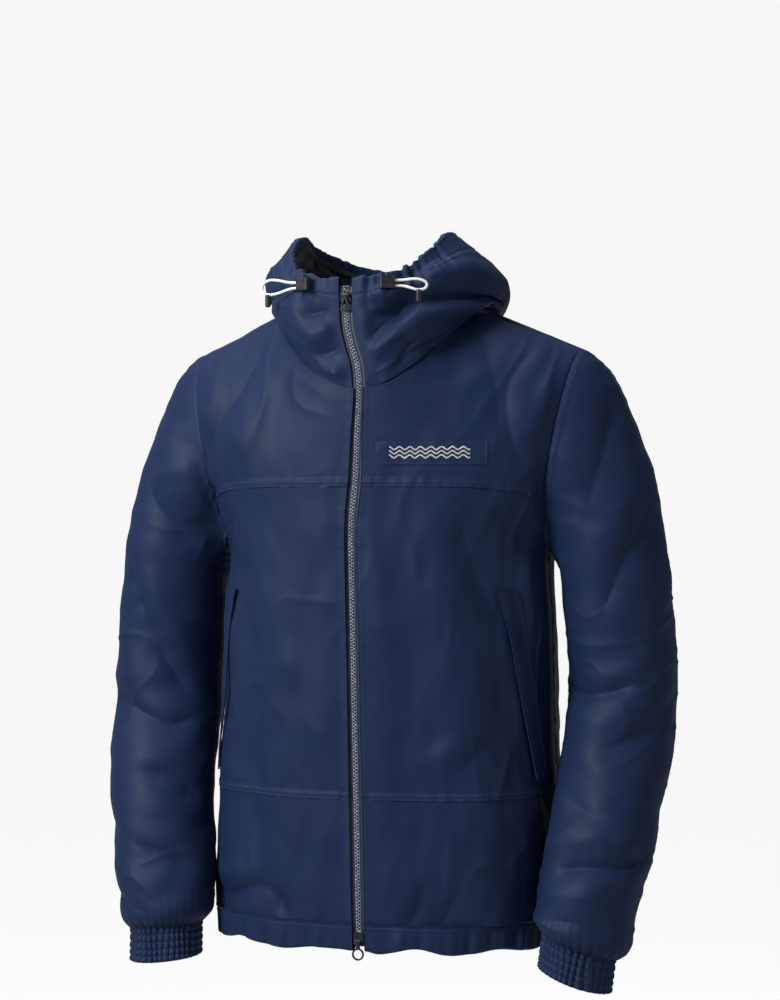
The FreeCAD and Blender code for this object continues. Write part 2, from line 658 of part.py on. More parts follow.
def rim_ring(inset, drop, count=60):
    """Points once round the rim from one side of the zip to the other."""
    start = math.degrees((TAPE_HALF_WIDTH + 1.5) / NECK_HALF_WIDTH)
    points = []
    for k in range(count + 1):
        turn = mix(start, 360.0 - start, k / count)
        if turn > 180.0:
            turn -= 360.0
        angle = math.radians(turn)
        rim = hood_point(turn, 1.0)
        points.append(rim + Vec(-math.sin(angle) * inset, math.cos(angle) * inset, -drop))
    return points


def collar_and_hood():
    """Collar halves, hood panels, lining, drawcord casing and the cord inside it."""
    top_v = 0.86
    edge = math.degrees(FABRIC_EDGE / NECK_HALF_WIDTH) + 0.4
    gap = 0.5
    for side, word in ((1, "left"), (-1, "right")):
        def place(turn, v, side=side):
            return hood_point(side * turn, v)
        save("collar_" + word, panel(place, (edge, COLLAR_SPAN - gap), (0.02, top_v), (9, 14),
                                     inner_side=inside_neck))
        save("hood_side_" + word, panel(place, (COLLAR_SPAN + gap, HOOD_SPAN - gap), (0.02, top_v), (12, 14),
                                        inner_side=inside_neck))

    def behind(turn, v):
        return hood_point(turn if turn <= 180.0 else turn - 360.0, v)
    save("hood_centre", panel(behind, (HOOD_SPAN + gap, 360.0 - HOOD_SPAN - gap), (0.02, top_v), (16, 14),
                              inner_side=inside_neck))

    def lining(turn, v):
        wrapped = turn if turn <= 180.0 else turn - 360.0
        angle = math.radians(wrapped)
        base = neck_point(wrapped)
        rim = hood_point(wrapped, 1.0)
        inset = Vec(-math.sin(angle), math.cos(angle), 0) * (CASING_WIDTH + 3.0)
        low = base + inset + Vec(0, 0, 6)
        high = rim + inset - Vec(0, 0, CASING_HEIGHT - 4)
        return mix(low, high, v)
    save("hood_lining", panel(lining, (30.0, 330.0), (0.0, 1.0), (36, 6), thickness=LINING, inner_side=inside_neck))
    wide = CASING_WIDTH
    wall = CASING_WALL
    deep = CASING_HEIGHT
    section = [(0.0, deep), (0.0, 0.0), (wide, 0.0), (wide, deep), (wide - wall, deep), (wide - wall, wall),
               (wall, wall), (wall, deep)]
    save("hood_casing", strip([rim_ring(inset, drop) for inset, drop in section]))
    middle = wide / 2
    side_half = CORD_RADIUS * math.sqrt(math.pi) / 2
    level = wall + 1.6
    cord = [(middle - side_half, level), (middle + side_half, level),
            (middle + side_half, level + 2 * side_half), (middle - side_half, level + 2 * side_half)]
    save("hood_drawcord", strip([rim_ring(inset, drop) for inset, drop in cord]))


# ==== Cord locks, cords and small pieces =====================================================
def lock_place(side):
    """Placement of a cord lock on the outside of the collar: X along the rim, Y inward, Z up."""
    turn = side * LOCK_ANGLE
    angle = math.radians(turn)
    outward = Vec(math.sin(angle), -math.cos(angle), 0)
    across = Vec(math.cos(angle), math.sin(angle), 0)
    rim = hood_point(turn, 1.0)
    base = rim + outward * (LOCK_DEPTH / 2 + 5.0) - Vec(0, 0, LOCK_HEIGHT + 1.0)
    return base, across, outward


def spring_route():
    """Points along the plunger spring's wire, eight to a turn."""
    steps = 8 * SPRING_TURNS
    rise = SPRING_HEIGHT - SPRING_WIRE - 0.2
    points = []
    for k in range(steps + 1):
        angle = k * math.pi / 4
        points.append(Vec(SPRING_RADIUS * math.cos(angle), SPRING_RADIUS * math.sin(angle), rise * k / steps))
    return points


def cord_locks():
    """Housings with a sprung plunger that grips the drawcord."""
    for side, word in ((1, "left"), (-1, "right")):
        base, across, outward = lock_place(side)
        matrix = FreeCAD.Matrix(across.x, -outward.x, 0, base.x, across.y, -outward.y, 0, base.y,
                                0, 0, 1, base.z, 0, 0, 0, 1)
        place = FreeCAD.Placement(matrix)
        wide = LOCK_WIDTH / 2
        deep = LOCK_DEPTH / 2
        body = box((-wide, wide), (-deep, deep), (0, LOCK_HEIGHT))
        upright = [e for e in body.Edges if abs(e.tangentAt(e.FirstParameter).z) > 0.99]
        body = body.makeFillet(2.0, upright)
        body = body.cut(Part.makeCylinder(LOCK_BORE, LOCK_HEIGHT, Vec(0, 0, LOCK_BASE)))
        seat = LOCK_BASE + SPRING_HEIGHT + 0.1
        plunger_length = LOCK_HEIGHT - seat + PLUNGER_TRAVEL + 0.2
        plunger = Part.makeCylinder(PLUNGER_RADIUS, plunger_length, Vec(0, 0, seat))
        spring = tube_along(spring_route(), SPRING_WIRE / 2, "cord_spring_" + word)
        spring.translate(Vec(0, 0, LOCK_BASE + SPRING_WIRE / 2 + 0.15))
        for name, shape in (("cord_lock_", body), ("cord_button_", plunger), ("cord_spring_", spring)):
            moved = shape.copy()
            moved.Placement = place.multiply(moved.Placement)
            save(name + word, moved)


def tube_along(points, radius, name):
    """Round tube along straight runs joined by tangent arcs; prints its arc radii and length."""
    edges = []
    radii = []
    last = points[0]
    for k in range(1, len(points) - 1):
        before = points[k - 1] - points[k]
        after = points[k + 1] - points[k]
        turn = math.pi - before.getAngle(after)
        reach = 0.45 * min(before.Length, after.Length)
        radii.append(reach / math.tan(turn / 2))
        before.normalize()
        after.normalize()
        begin = points[k] + before * reach
        finish = points[k] + after * reach
        to_centre = before + after
        to_centre.normalize()
        centre = points[k] + to_centre * (math.hypot(reach, radii[-1]))
        crown = centre - to_centre * radii[-1]
        edges.append(Part.LineSegment(last, begin).toShape())
        edges.append(Part.Arc(begin, crown, finish).toShape())
        last = finish
    edges.append(Part.LineSegment(last, points[-1]).toShape())
    path = Part.Wire(edges)
    first = points[1] - points[0]
    ring_wire = Part.Wire([Part.Circle(points[0], first, radius).toShape()])
    solid = path.makePipeShell([ring_wire], True, True)
    expected = math.pi * radius ** 2 * path.Length
    print("%s: length %.1f, radii %s, volume ratio %.4f"
          % (name, path.Length, ["%.1f" % r for r in radii], solid.Volume / expected))
    return solid


# Routes of the two free loops of the hood's drawcord, from the cord lock and back to it.
LOOP_RIGHT = [Vec(-67.6, -114.0, 16.5), Vec(-76.7, -109.9, 16.5), Vec(-90.0, -106.5, 20.0),
              Vec(-104.0, -101.0, 21.5), Vec(-112.5, -97.0, 16.0), Vec(-112.5, -97.5, 9.5),
              Vec(-104.0, -102.5, 5.0), Vec(-91.0, -108.0, 6.0), Vec(-76.7, -109.9, 11.0), Vec(-67.6, -114.0, 11.0)]
LOOP_LEFT = [Vec(38.0, -114.0, 16.5), Vec(46.2, -110.3, 16.5), Vec(55.0, -109.5, 18.0), Vec(64.0, -107.5, 17.5),
             Vec(70.5, -105.0, 13.5), Vec(69.0, -106.0, 8.0), Vec(62.0, -109.5, 6.0), Vec(54.0, -112.0, 8.5),
             Vec(46.2, -110.3, 11.0), Vec(38.0, -114.0, 11.0)]
CORD_END_RADIUS = 3.0
CORD_END_HEIGHT = 13.5


def cord_end(centre):
    """Dark moulded end clipped to the loop: a long bead."""
    half = CORD_END_HEIGHT / 2
    waist = CORD_END_RADIUS
    bead = Part.makeCylinder(waist, CORD_END_HEIGHT, centre - Vec(0, 0, half))
    return bead.makeFillet(waist * 0.6, [e for e in bead.Edges if len(e.Vertexes) == 1])


def cords():
    """Free loops of the drawcord and the bead on each."""
    for word, route, bead_at in (("right", LOOP_RIGHT, 6), ("left", LOOP_LEFT, 6)):
        save("cord_loop_" + word, tube_along(route, CORD_RADIUS, "cord_loop_" + word))
        centre = route[bead_at] - Vec(0, 0, CORD_END_HEIGHT / 2 - 1.0)
        save("cord_end_" + word, cord_end(centre))


def small_pieces():
    """Chest patch, hanger loop and blank neck label."""
    def patch(s, t):
        x = PATCH_CENTRE_X + PATCH_WIDTH * (s - 0.5)
        z = PATCH_CENTRE_Z + PATCH_HEIGHT * (t - 0.5)
        return Vec(x + lean(x, z), front_y(x, z), z)
    save("chest_patch", panel(patch, (0, 1), (0, 1), (8, 4), outer=-1.6, thickness=1.2))
    nape = neck_point(180.0)
    inner = nape.y - CASING_WIDTH - 10.0
    strap = box((-24, 24), (inner - 6, inner), (nape.z + 22, nape.z + 27))
    strap = strap.cut(box((-22.5, 22.5), (inner - 4.5, inner + 1), (nape.z + 21, nape.z + 28)))
    save("hanger_loop", strap.fuse(box((-24, 24), (inner - 0.2, inner + 0.8), (nape.z + 22, nape.z + 27))))
    save("neck_label", box((-26, 26), (inner - 0.2, inner + 0.8), (nape.z - 2, nape.z + 19)))


# ==== Sleeves ================================================================================
def sleeve_centre(z):
    """Centre of the sleeve below the armpit."""
    x = smooth([(CUFF_BOTTOM_Z, 222.0), (CUFF_TOP_Z, 225.0), (-620.0, 230.0), (-540.0, 245.0), (ELBOW_Z, 254.0),
                (UPPER_ARM_Z, 247.0)], z)
    y = smooth([(CUFF_BOTTOM_Z, -93.0), (CUFF_TOP_Z, -84.0), (-620.0, -71.0), (-540.0, -42.0), (ELBOW_Z, 0.0),
                (UPPER_ARM_Z, 3.0)], z)
    return Vec(x, y, z)


def sleeve_radii(z):
    """Half width and half depth of the sleeve at height z."""
    share = smooth([(CUFF_TOP_Z, 0.0), (-636.0, 0.62), (-585.0, 0.86), (-540.0, 0.95), (ELBOW_Z, 0.98),
                    (UPPER_ARM_Z, 1.0)], z)
    return (mix(CUFF_WIDTH_RADIUS, SLEEVE_WIDTH_RADIUS, share), mix(CUFF_DEPTH_RADIUS, SLEEVE_DEPTH_RADIUS, share))


def tube_point(side, turn, z):
    """Outer face of the sleeve below the upper arm; turn 0 is outermost and 90 is in front."""
    centre = sleeve_centre(z)
    wide, deep = sleeve_radii(z)
    angle = math.radians(turn)
    return Vec(side * (centre.x + wide * math.cos(angle)), centre.y - deep * math.sin(angle), z)


def head_point(side, turn, t):
    """Outer face of the sleeve head, t from 0 at the armhole to 1 at the upper arm."""
    angle = math.radians(turn)
    top_z = shoulder_line_z(SHOULDER_POINT_X)
    z = (top_z + ARMPIT_Z) / 2 + (top_z - ARMPIT_Z) / 2 * math.cos(angle)
    x = armhole_x(z)
    y = front_y(x, z) if math.sin(angle) >= 0 else back_y(x, z)
    start = Vec(x + mix(SLEEVE_GAP, ARMPIT_GAP, (1.0 - math.cos(angle)) / 2), y, z)
    finish = tube_point(1, turn, UPPER_ARM_Z)
    reach = (finish - start).Length
    dip = mix(14.0, 62.0, (1.0 - math.cos(angle)) / 2)
    leave = Vec(math.cos(math.radians(dip)), 0, -math.sin(math.radians(dip))) * (0.55 * reach)
    arrive = Vec(0.06, 0, -1.0) * reach
    h00 = 2 * t ** 3 - 3 * t ** 2 + 1
    h10 = t ** 3 - 2 * t ** 2 + t
    h01 = 3 * t ** 2 - 2 * t ** 3
    h11 = t ** 3 - t ** 2
    point = start * h00 + leave * h10 + finish * h01 + arrive * h11
    return Vec(side * point.x, point.y, point.z)


def sleeve_place(side, low_z, high_z):
    """Outer face of a stretch of sleeve between two heights."""
    def place(turn, v):
        return tube_point(side, turn, mix(high_z, low_z, v))
    return place


def sleeves():
    """Upper sleeves, forearms and elasticated cuffs."""
    head_share = 0.62
    for side, word in ((1, "left"), (-1, "right")):
        def upper(turn, v, side=side):
            if v <= head_share:
                return head_point(side, turn, v / head_share)
            share = (v - head_share) / (1.0 - head_share)
            return tube_point(side, turn, mix(UPPER_ARM_Z, ELBOW_Z + SEAM_GAP / 2, share))

        def axis(point, side=side):
            inner = sleeve_centre(max(min(point.z, UPPER_ARM_Z), CUFF_BOTTOM_Z))
            return Vec(side * (inner.x if point.z < UPPER_ARM_Z else 215.0), inner.y, point.z - 20.0)
        fore = sleeve_place(side, CUFF_TOP_Z + SEAM_GAP / 2, ELBOW_Z - SEAM_GAP / 2)
        for half, first in (("front", 0.0), ("back", 180.0)):
            span = (first + 0.6, first + 179.4)
            save("sleeve_%s_%s" % (half, word), panel(upper, span, (0.0, 1.0), (14, 20), inner_side=axis))
            save("forearm_%s_%s" % (half, word), panel(fore, span, (0.0, 1.0), (14, 12), inner_side=axis))
        cuff(side, word)


def slanted_tube(side, outer_inset, inner_inset, low_z, high_z):
    """Elliptical tube that follows the cuff's slant."""
    top = sleeve_centre(CUFF_TOP_Z)
    bottom = sleeve_centre(CUFF_BOTTOM_Z)
    slant = (bottom - top) * (1.0 / (CUFF_TOP_Z - CUFF_BOTTOM_Z))
    start = top + slant * (CUFF_TOP_Z - high_z)
    start = Vec(side * start.x, start.y, start.z)
    run = Vec(side * slant.x, slant.y, slant.z) * (high_z - low_z)
    solids = []
    for inset in (outer_inset, inner_inset):
        wide = CUFF_WIDTH_RADIUS - inset
        deep = CUFF_DEPTH_RADIUS - inset
        edge = Part.Ellipse(start + Vec(0, deep, 0), start + Vec(wide, 0, 0), start)
        solids.append(Part.Face(Part.Wire([edge.toShape()])).extrude(run))
    return solids[0].cut(solids[1])


def cuff(side, word):
    """Cuff folded up inside round a wide elastic, open at its sewn top edge."""
    room = ELASTIC_THICKNESS + 0.8
    whole = slanted_tube(side, 0.0, 2 * CUFF_WALL + room, CUFF_BOTTOM_Z, CUFF_TOP_Z - SEAM_GAP / 2)
    channel = slanted_tube(side, CUFF_WALL, CUFF_WALL + room, CUFF_BOTTOM_Z + CUFF_WALL, CUFF_TOP_Z + 4)
    save("cuff_" + word, whole.cut(channel))
    elastic = slanted_tube(side, CUFF_WALL + 0.4, CUFF_WALL + 0.4 + ELASTIC_THICKNESS, CUFF_BOTTOM_Z + 3.0,
                           CUFF_TOP_Z - 4.0)
    save("cuff_elastic_" + word, elastic)


def main():
    """Build every node."""
    os.makedirs("parts", exist_ok=True)
    body_panels()
    hem()
    pockets()
    closure()
    collar_and_hood()
    cord_locks()
    cords()
    small_pieces()
    sleeves()


main()
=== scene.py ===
"""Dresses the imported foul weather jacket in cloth, thread, tape and cord, and sets the studio."""

import logging
import math
from collections.abc import Callable, Sequence
from dataclasses import dataclass
from enum import Enum

import bpy
import numpy as np
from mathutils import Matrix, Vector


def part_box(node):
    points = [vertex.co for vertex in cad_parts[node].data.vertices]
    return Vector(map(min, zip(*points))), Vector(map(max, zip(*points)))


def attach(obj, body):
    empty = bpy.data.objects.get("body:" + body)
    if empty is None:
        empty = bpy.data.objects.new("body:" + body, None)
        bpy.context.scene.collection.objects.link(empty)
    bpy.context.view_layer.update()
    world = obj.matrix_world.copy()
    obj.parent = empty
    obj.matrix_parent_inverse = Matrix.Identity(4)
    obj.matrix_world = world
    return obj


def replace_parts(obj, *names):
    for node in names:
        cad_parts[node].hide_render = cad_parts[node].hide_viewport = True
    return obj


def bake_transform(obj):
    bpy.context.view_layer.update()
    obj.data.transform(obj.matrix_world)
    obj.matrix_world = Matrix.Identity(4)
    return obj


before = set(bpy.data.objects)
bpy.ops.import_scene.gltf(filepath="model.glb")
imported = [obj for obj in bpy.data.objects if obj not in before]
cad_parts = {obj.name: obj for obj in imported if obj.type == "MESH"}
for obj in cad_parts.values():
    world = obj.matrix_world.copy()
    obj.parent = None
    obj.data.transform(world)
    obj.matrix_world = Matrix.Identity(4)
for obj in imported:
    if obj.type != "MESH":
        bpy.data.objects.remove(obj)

LOG = logging.getLogger("jacket")
MM = 0.001
SIDES = ((1, "left"), (-1, "right"))
Stations = Sequence[tuple[float, float]]


# ==== Curves =================================================================================
def mix(a, b, t):
    """Value a fraction t of the way from a to b."""
    return a * (1.0 - t) + b * t


def ease(t) -> np.ndarray:
    """Smooth step from 0 to 1, clamped outside."""
    t = np.clip(t, 0.0, 1.0)
    return t * t * (3.0 - 2.0 * t)


def hermite(start, end, leave, arrive, t):
    """Cubic from start to end, with the slope it leaves with and the slope it arrives with."""
    return ((2 * t ** 3 - 3 * t ** 2 + 1) * start + (t ** 3 - 2 * t ** 2 + t) * leave
            + (3 * t ** 2 - 2 * t ** 3) * end + (t ** 3 - t ** 2) * arrive)


def smooth(stations: Stations, x) -> np.ndarray:
    """Smooth curve through (place, value) stations.

    Args:
        stations: Places in rising order with the value at each.
        x: Where the curve is read.

    Returns:
        The curve's values, held level outside the stations.
    """
    places = np.array([s[0] for s in stations], float)
    values = np.array([s[1] for s in stations], float)
    x = np.clip(np.asarray(x, float), places[0], places[-1])
    k = np.clip(np.searchsorted(places, x, side="left") - 1, 0, len(places) - 2)
    slopes = np.empty_like(values)
    slopes[0] = (values[1] - values[0]) / (places[1] - places[0])
    slopes[-1] = (values[-1] - values[-2]) / (places[-1] - places[-2])
    slopes[1:-1] = (values[2:] - values[:-2]) / (places[2:] - places[:-2])
    span = places[k + 1] - places[k]
    return hermite(values[k], values[k + 1], span * slopes[k], span * slopes[k + 1], (x - places[k]) / span)


def stacked(x, y, z) -> np.ndarray:
    """Array of points from coordinates that broadcast together."""
    return np.stack(np.broadcast_arrays(np.asarray(x, float), np.asarray(y, float), np.asarray(z, float)), -1)


def graded(length: float, coarse: float = 2.8, fine: float = 1.0, band: float = 9.0) -> np.ndarray:
    """Shares from 0 to 1 along a length in millimetres, closer together near both ends."""
    if length < 3 * band:
        return np.linspace(0.0, 1.0, max(int(length / fine), 2) + 1)
    edge = np.arange(0.0, band, fine)
    middle = np.linspace(band, length - band, max(int((length - 2 * band) / coarse), 2) + 1)
    return np.concatenate([edge, middle, length - edge[::-1]]) / length


# ==== The worn shape =========================================================================
@dataclass(frozen=True)
class WornShape:
    """Outer face of the worn jacket, on the same curves as the CAD model, in millimetres."""

    hem_z: float = -672.0
    hem_height: float = 26.0
    lower_seam_z: float = -518.0
    yoke_seam_z: float = -196.0
    armpit_z: float = -245.0
    chest: float = 178.0
    waist: float = 182.0
    hem_width: float = 187.0
    back_depth: float = 128.0
    shoulder_level: float = -200.0
    power: float = 2.3
    neck: float = 105.0
    neck_side_z: float = -6.0
    neck_front_z: float = -94.0
    neck_back_y: float = 74.0
    slope: float = 0.42
    shoulder_x: float = 213.0
    shoulder_y: float = 8.0
    armpit_x: float = 178.0
    neck_share: float = 0.48
    armhole_lap: float = 3.5
    fabric_edge: float = 6.5
    cuff_top_z: float = -664.0
    cuff_bottom_z: float = -697.0
    elbow_z: float = -415.0
    upper_arm_z: float = -300.0
    cuff_wide: float = 36.0
    cuff_deep: float = 38.0
    sleeve_wide: float = 58.0
    sleeve_deep: float = 62.0
    pocket_top_z: float = -304.0
    pocket_bottom_z: float = -500.0
    pocket_top_angle: float = 55.0
    pocket_bottom_angle: float = 72.0

    ZIP_BOTTOM = np.array([5.0, -135.0, -668.0])
    ZIP_TOP = np.array([-14.5, -118.0, 12.0])
    PROFILES = {
        0.0: ((0.0, 2.0), (-0.6, 28.0), (-1.2, 56.0), (-1.9, 84.0), (-2.4, 112.0)),
        40.0: ((3.0, 2.5), (11.0, 26.0), (13.0, 52.0), (6.0, 74.0), (-4.0, 95.0)),
        90.0: ((2.0, 4.0), (17.0, 5.0), (24.0, 16.0), (10.0, 50.0), (-20.0, 80.0)),
        135.0: ((3.0, 4.0), (24.0, -7.0), (44.0, 2.0), (35.0, 45.0), (-4.0, 72.0)),
        180.0: ((4.0, 2.0), (34.0, -34.0), (62.0, -46.0), (66.0, 18.0), (16.0, 62.0)),
    }

    def zip_line(self, z) -> np.ndarray:
        """Straight centre line of the zip on the cloth's outer face."""
        t = (np.asarray(z, float) - self.ZIP_BOTTOM[2]) / (self.ZIP_TOP[2] - self.ZIP_BOTTOM[2])
        return self.ZIP_BOTTOM + (self.ZIP_TOP - self.ZIP_BOTTOM) * t[..., None]

    def bow(self, z) -> np.ndarray:
        """Sideways bend of the worn zip below the collar, none where a slider rests."""
        return smooth(((-255, 0), (-225, 1.5), (-189, 6), (-140, 9), (-95, 12), (-70, 10.5), (-50, 5),
                       (-32, 1), (-20, 0)), z)

    def shoulder_line(self, x) -> np.ndarray:
        """Height of the shoulder line, rounded over inside the neck."""
        size = np.abs(x)
        outside = self.neck_side_z - self.slope * (size - self.neck)
        inside = self.neck_side_z + self.slope * (self.neck ** 2 - size ** 2) / (2 * self.neck)
        return np.where(size >= self.neck, outside, inside)

    def armhole_x(self, z) -> np.ndarray:
        """Half width of the armhole's plane."""
        top = float(self.shoulder_line(self.shoulder_x))
        return mix(self.armpit_x, self.shoulder_x, (z - self.armpit_z) / (top - self.armpit_z))

    def half_width(self, z) -> np.ndarray:
        """Half width of the torso."""
        return smooth(((self.hem_z, self.hem_width), (-600, self.hem_width + 2), (-450, self.waist),
                       (-340, mix(self.waist, self.chest, 0.7)), (self.armpit_z, self.chest),
                       (-150, 1.22 * self.chest), (-52, 1.38 * self.chest)), z)

    def ring(self, x, z) -> np.ndarray:
        """Share of the full depth at x."""
        share = np.minimum(np.abs(x) / self.half_width(z), 1.0)
        return (1.0 - share ** self.power) ** (1.0 / self.power)

    def shoulder_share(self, x, z) -> np.ndarray:
        """Share of the depth left as the cloth curves in to the shoulder line."""
        rise = (np.asarray(z, float) - self.shoulder_level) / (self.shoulder_line(x) - self.shoulder_level)
        return np.sqrt(np.clip(1.0 - np.clip(rise, 0.0, None) ** 2, 0.0, 1.0))

    def front_y(self, x, z) -> np.ndarray:
        """Depth of the fronts."""
        near = (1.0 - np.minimum(np.abs(x) / self.neck, 1.0) ** 2) ** 2
        share = self.shoulder_share(x, z) / mix(1.0, self.shoulder_share(0.0, z), near)
        return self.shoulder_y * (1.0 - share) + self.zip_line(z)[..., 1] * self.ring(x, z) * share

    def back_y(self, x, z) -> np.ndarray:
        """Depth of the back."""
        share = self.shoulder_share(x, z)
        return self.shoulder_y * (1.0 - share) + self.back_depth * self.ring(x, z) * share

    def yoke_z(self, s) -> np.ndarray:
        """Height of the yoke seam."""
        return mix(self.yoke_seam_z, self.armpit_z, np.asarray(s, float) ** 4)

    def ring_x(self, s, z) -> np.ndarray:
        """Half width reached a share s of the way round from the centre to the side."""
        return self.half_width(z) * np.sin(np.asarray(s, float) * np.pi / 2) ** (2.0 / self.power)

    def ring_share(self, x, z) -> np.ndarray:
        """Share of the way round at x, the inverse of ring_x."""
        share = np.minimum(np.abs(x) / self.half_width(z), 1.0)
        return np.arcsin(share ** (self.power / 2)) * 2 / np.pi

    def sway(self, x, z) -> np.ndarray:
        """Sideways shift of the fronts beside the leaning, bowed zip."""
        share = np.minimum(np.abs(x) / self.half_width(z), 1.0)
        return self.zip_line(z)[..., 0] * (1.0 - share ** 2) + self.bow(z) * (1.0 - share ** 2) ** 3

    def torso(self, side: int, front: bool, s, z) -> np.ndarray:
        """Point of the front or back, s round from its centre and at height z."""
        x = self.ring_x(np.abs(s), z)
        y = self.front_y(x, z) if front else self.back_y(x, z)
        shift = self.sway(x, z) if front else 0.0
        return stacked(np.sign(side * s) * x + shift, y, z)

    def neck_z(self, front: bool, x) -> np.ndarray:
        """Height of the neck seam."""
        share = np.minimum(np.abs(x) / self.neck, 1.0)
        if front:
            return self.neck_side_z + (self.neck_front_z - self.neck_side_z) * (1.0 - share ** 2) ** 0.9
        y = mix(self.shoulder_y, self.neck_back_y, np.sqrt(1.0 - share ** 2))
        part = (y - self.shoulder_y) / (self.back_depth * self.ring(x, 0.0) - self.shoulder_y)
        return mix(self.shoulder_level, self.shoulder_line(x), np.sqrt(np.clip(1.0 - part ** 2, 0, 1)))

    def yoke(self, side: int, front: bool, s, t) -> np.ndarray:
        """Point of a yoke, s from the centre to the armhole and t from its seam to its top."""
        size = np.abs(s)
        low_z = self.yoke_z(size)
        low_x = self.ring_x(size, low_z)
        near_x = self.neck * np.sin(np.minimum(size / self.neck_share, 1.0) * np.pi / 2)
        far_x = mix(self.neck, self.shoulder_x, (size - self.neck_share) / (1.0 - self.neck_share))
        inner = size <= self.neck_share
        high_x = np.where(inner, near_x, far_x)
        high_z = np.where(inner, self.neck_z(front, near_x), self.shoulder_line(far_x))
        rise = np.sin(np.asarray(t, float) * np.pi / 2)
        z = mix(low_z, high_z, rise)
        x = mix(low_x, high_x, rise)
        y = self.front_y(x, z) if front else self.back_y(x, z)
        shift = self.sway(x, z) if front else 0.0
        return stacked(np.sign(side * s) * x + shift, y, z)

    def neck_point(self, turn) -> np.ndarray:
        """Point on the neck seam, turn degrees round from the zip."""
        angle = np.radians(turn)
        x = self.neck * np.sin(angle)
        front = np.cos(angle) >= 0
        z = np.where(front, self.neck_z(True, x), self.neck_z(False, x))
        y = np.where(front, self.front_y(np.abs(x), z), self.back_y(np.abs(x), z))
        shift = np.where(front, self.zip_line(z)[..., 0] * np.cos(angle) ** 2, 0.0)
        return stacked(x + shift, y, z)

    def hood_point(self, turn, v) -> np.ndarray:
        """Outer face of the collar and hood, v from the neck seam to the rim."""
        turn, v = np.broadcast_arrays(np.asarray(turn, float), np.asarray(v, float))
        size = np.abs(turn)
        turns = sorted(self.PROFILES)
        around = [(-turns[1], turns[1])] + [(a, a) for a in turns] + [(360.0 - turns[-2], turns[-2])]
        levels = []
        for axis in (0, 1):
            levels.append([smooth([(a, self.PROFILES[key][level][axis]) for a, key in around], size)
                           for level in range(5)])
        place = np.clip(v, 0.0, 1.0) * 4.0
        k = np.clip(np.ceil(place).astype(int) - 1, 0, 3)
        t = place - k
        offsets = []
        for level in levels:
            grid = np.stack(level)
            slopes = np.empty_like(grid)
            slopes[0] = grid[1] - grid[0]
            slopes[-1] = grid[-1] - grid[-2]
            slopes[1:-1] = (grid[2:] - grid[:-2]) / 2

            first, last = (np.take_along_axis(grid, (k + step)[None], 0)[0] for step in (0, 1))
            leave, arrive = (np.take_along_axis(slopes, (k + step)[None], 0)[0] for step in (0, 1))
            offsets.append(hermite(first, last, leave, arrive, t))
        out, rise = offsets
        angle = np.radians(turn)
        base = self.neck_point(turn)
        start = float(self.zip_line(np.array(self.neck_front_z))[0])
        lean = v * (self.ZIP_TOP[0] - start * np.clip(np.cos(angle), 0.0, None) ** 2)
        near = (1.0 - np.minimum(size / 60.0, 1.0) ** 2) ** 2
        z = base[..., 2] + rise
        return stacked(base[..., 0] + np.sin(angle) * out + lean + self.bow(z) * near,
                       base[..., 1] - np.cos(angle) * out, z)

    def sleeve_centre(self, z) -> np.ndarray:
        """Centre of the sleeve below the armpit, on the +X side."""
        x = smooth(((self.cuff_bottom_z, 222), (self.cuff_top_z, 225), (-620, 230), (-540, 245),
                    (self.elbow_z, 254), (self.upper_arm_z, 247)), z)
        y = smooth(((self.cuff_bottom_z, -93), (self.cuff_top_z, -84), (-620, -71), (-540, -42),
                    (self.elbow_z, 0), (self.upper_arm_z, 3)), z)
        return stacked(x, y, z)

    def tube_point(self, side: int, turn, z) -> np.ndarray:
        """Outer face of the sleeve below the upper arm; turn 0 is outermost and 90 in front."""
        share = smooth(((self.cuff_top_z, 0), (-636, 0.62), (-585, 0.86), (-540, 0.95), (self.elbow_z, 0.98),
                        (self.upper_arm_z, 1)), z)
        centre = self.sleeve_centre(z)
        angle = np.radians(turn)
        return stacked(side * (centre[..., 0] + mix(self.cuff_wide, self.sleeve_wide, share) * np.cos(angle)),
                       centre[..., 1] - mix(self.cuff_deep, self.sleeve_deep, share) * np.sin(angle), z)

    def head_point(self, side: int, turn, t) -> np.ndarray:
        """Outer face of the sleeve head, t from the armhole to the upper arm."""
        turn, t = np.broadcast_arrays(np.asarray(turn, float), np.asarray(t, float))
        angle = np.radians(turn)
        top = float(self.shoulder_line(self.shoulder_x))
        z = (top + self.armpit_z) / 2 + (top - self.armpit_z) / 2 * np.cos(angle)
        x = self.armhole_x(z) - self.armhole_lap
        y = np.where(np.sin(angle) >= 0, self.front_y(x, z), self.back_y(x, z))
        start = stacked(x, y, z)
        finish = self.tube_point(1, turn, np.full_like(turn, self.upper_arm_z))
        reach = np.linalg.norm(finish - start, axis=-1)
        dip = np.radians(mix(14.0, 62.0, (1.0 - np.cos(angle)) / 2))
        leave = stacked(np.cos(dip), 0.0, -np.sin(dip)) * (0.55 * reach)[..., None]
        arrive = np.array([0.06, 0.0, -1.0]) * reach[..., None]
        return hermite(start, finish, leave, arrive, t[..., None]) * np.array([side, 1.0, 1.0])

    @property
    def degree(self) -> float:
        """Millimetres to a degree round the torso at the pockets."""
        return math.radians(1.0) * (self.waist + self.back_depth) / 2

    def pocket_offset(self, s, z) -> tuple[np.ndarray, np.ndarray]:
        """Millimetres behind the pocket mouth's centre line, and the share of the way down it."""
        t = (np.asarray(z, float) - self.pocket_top_z) / (self.pocket_bottom_z - self.pocket_top_z)
        return (s * 90.0 - mix(self.pocket_top_angle, self.pocket_bottom_angle, t)) * self.degree, t

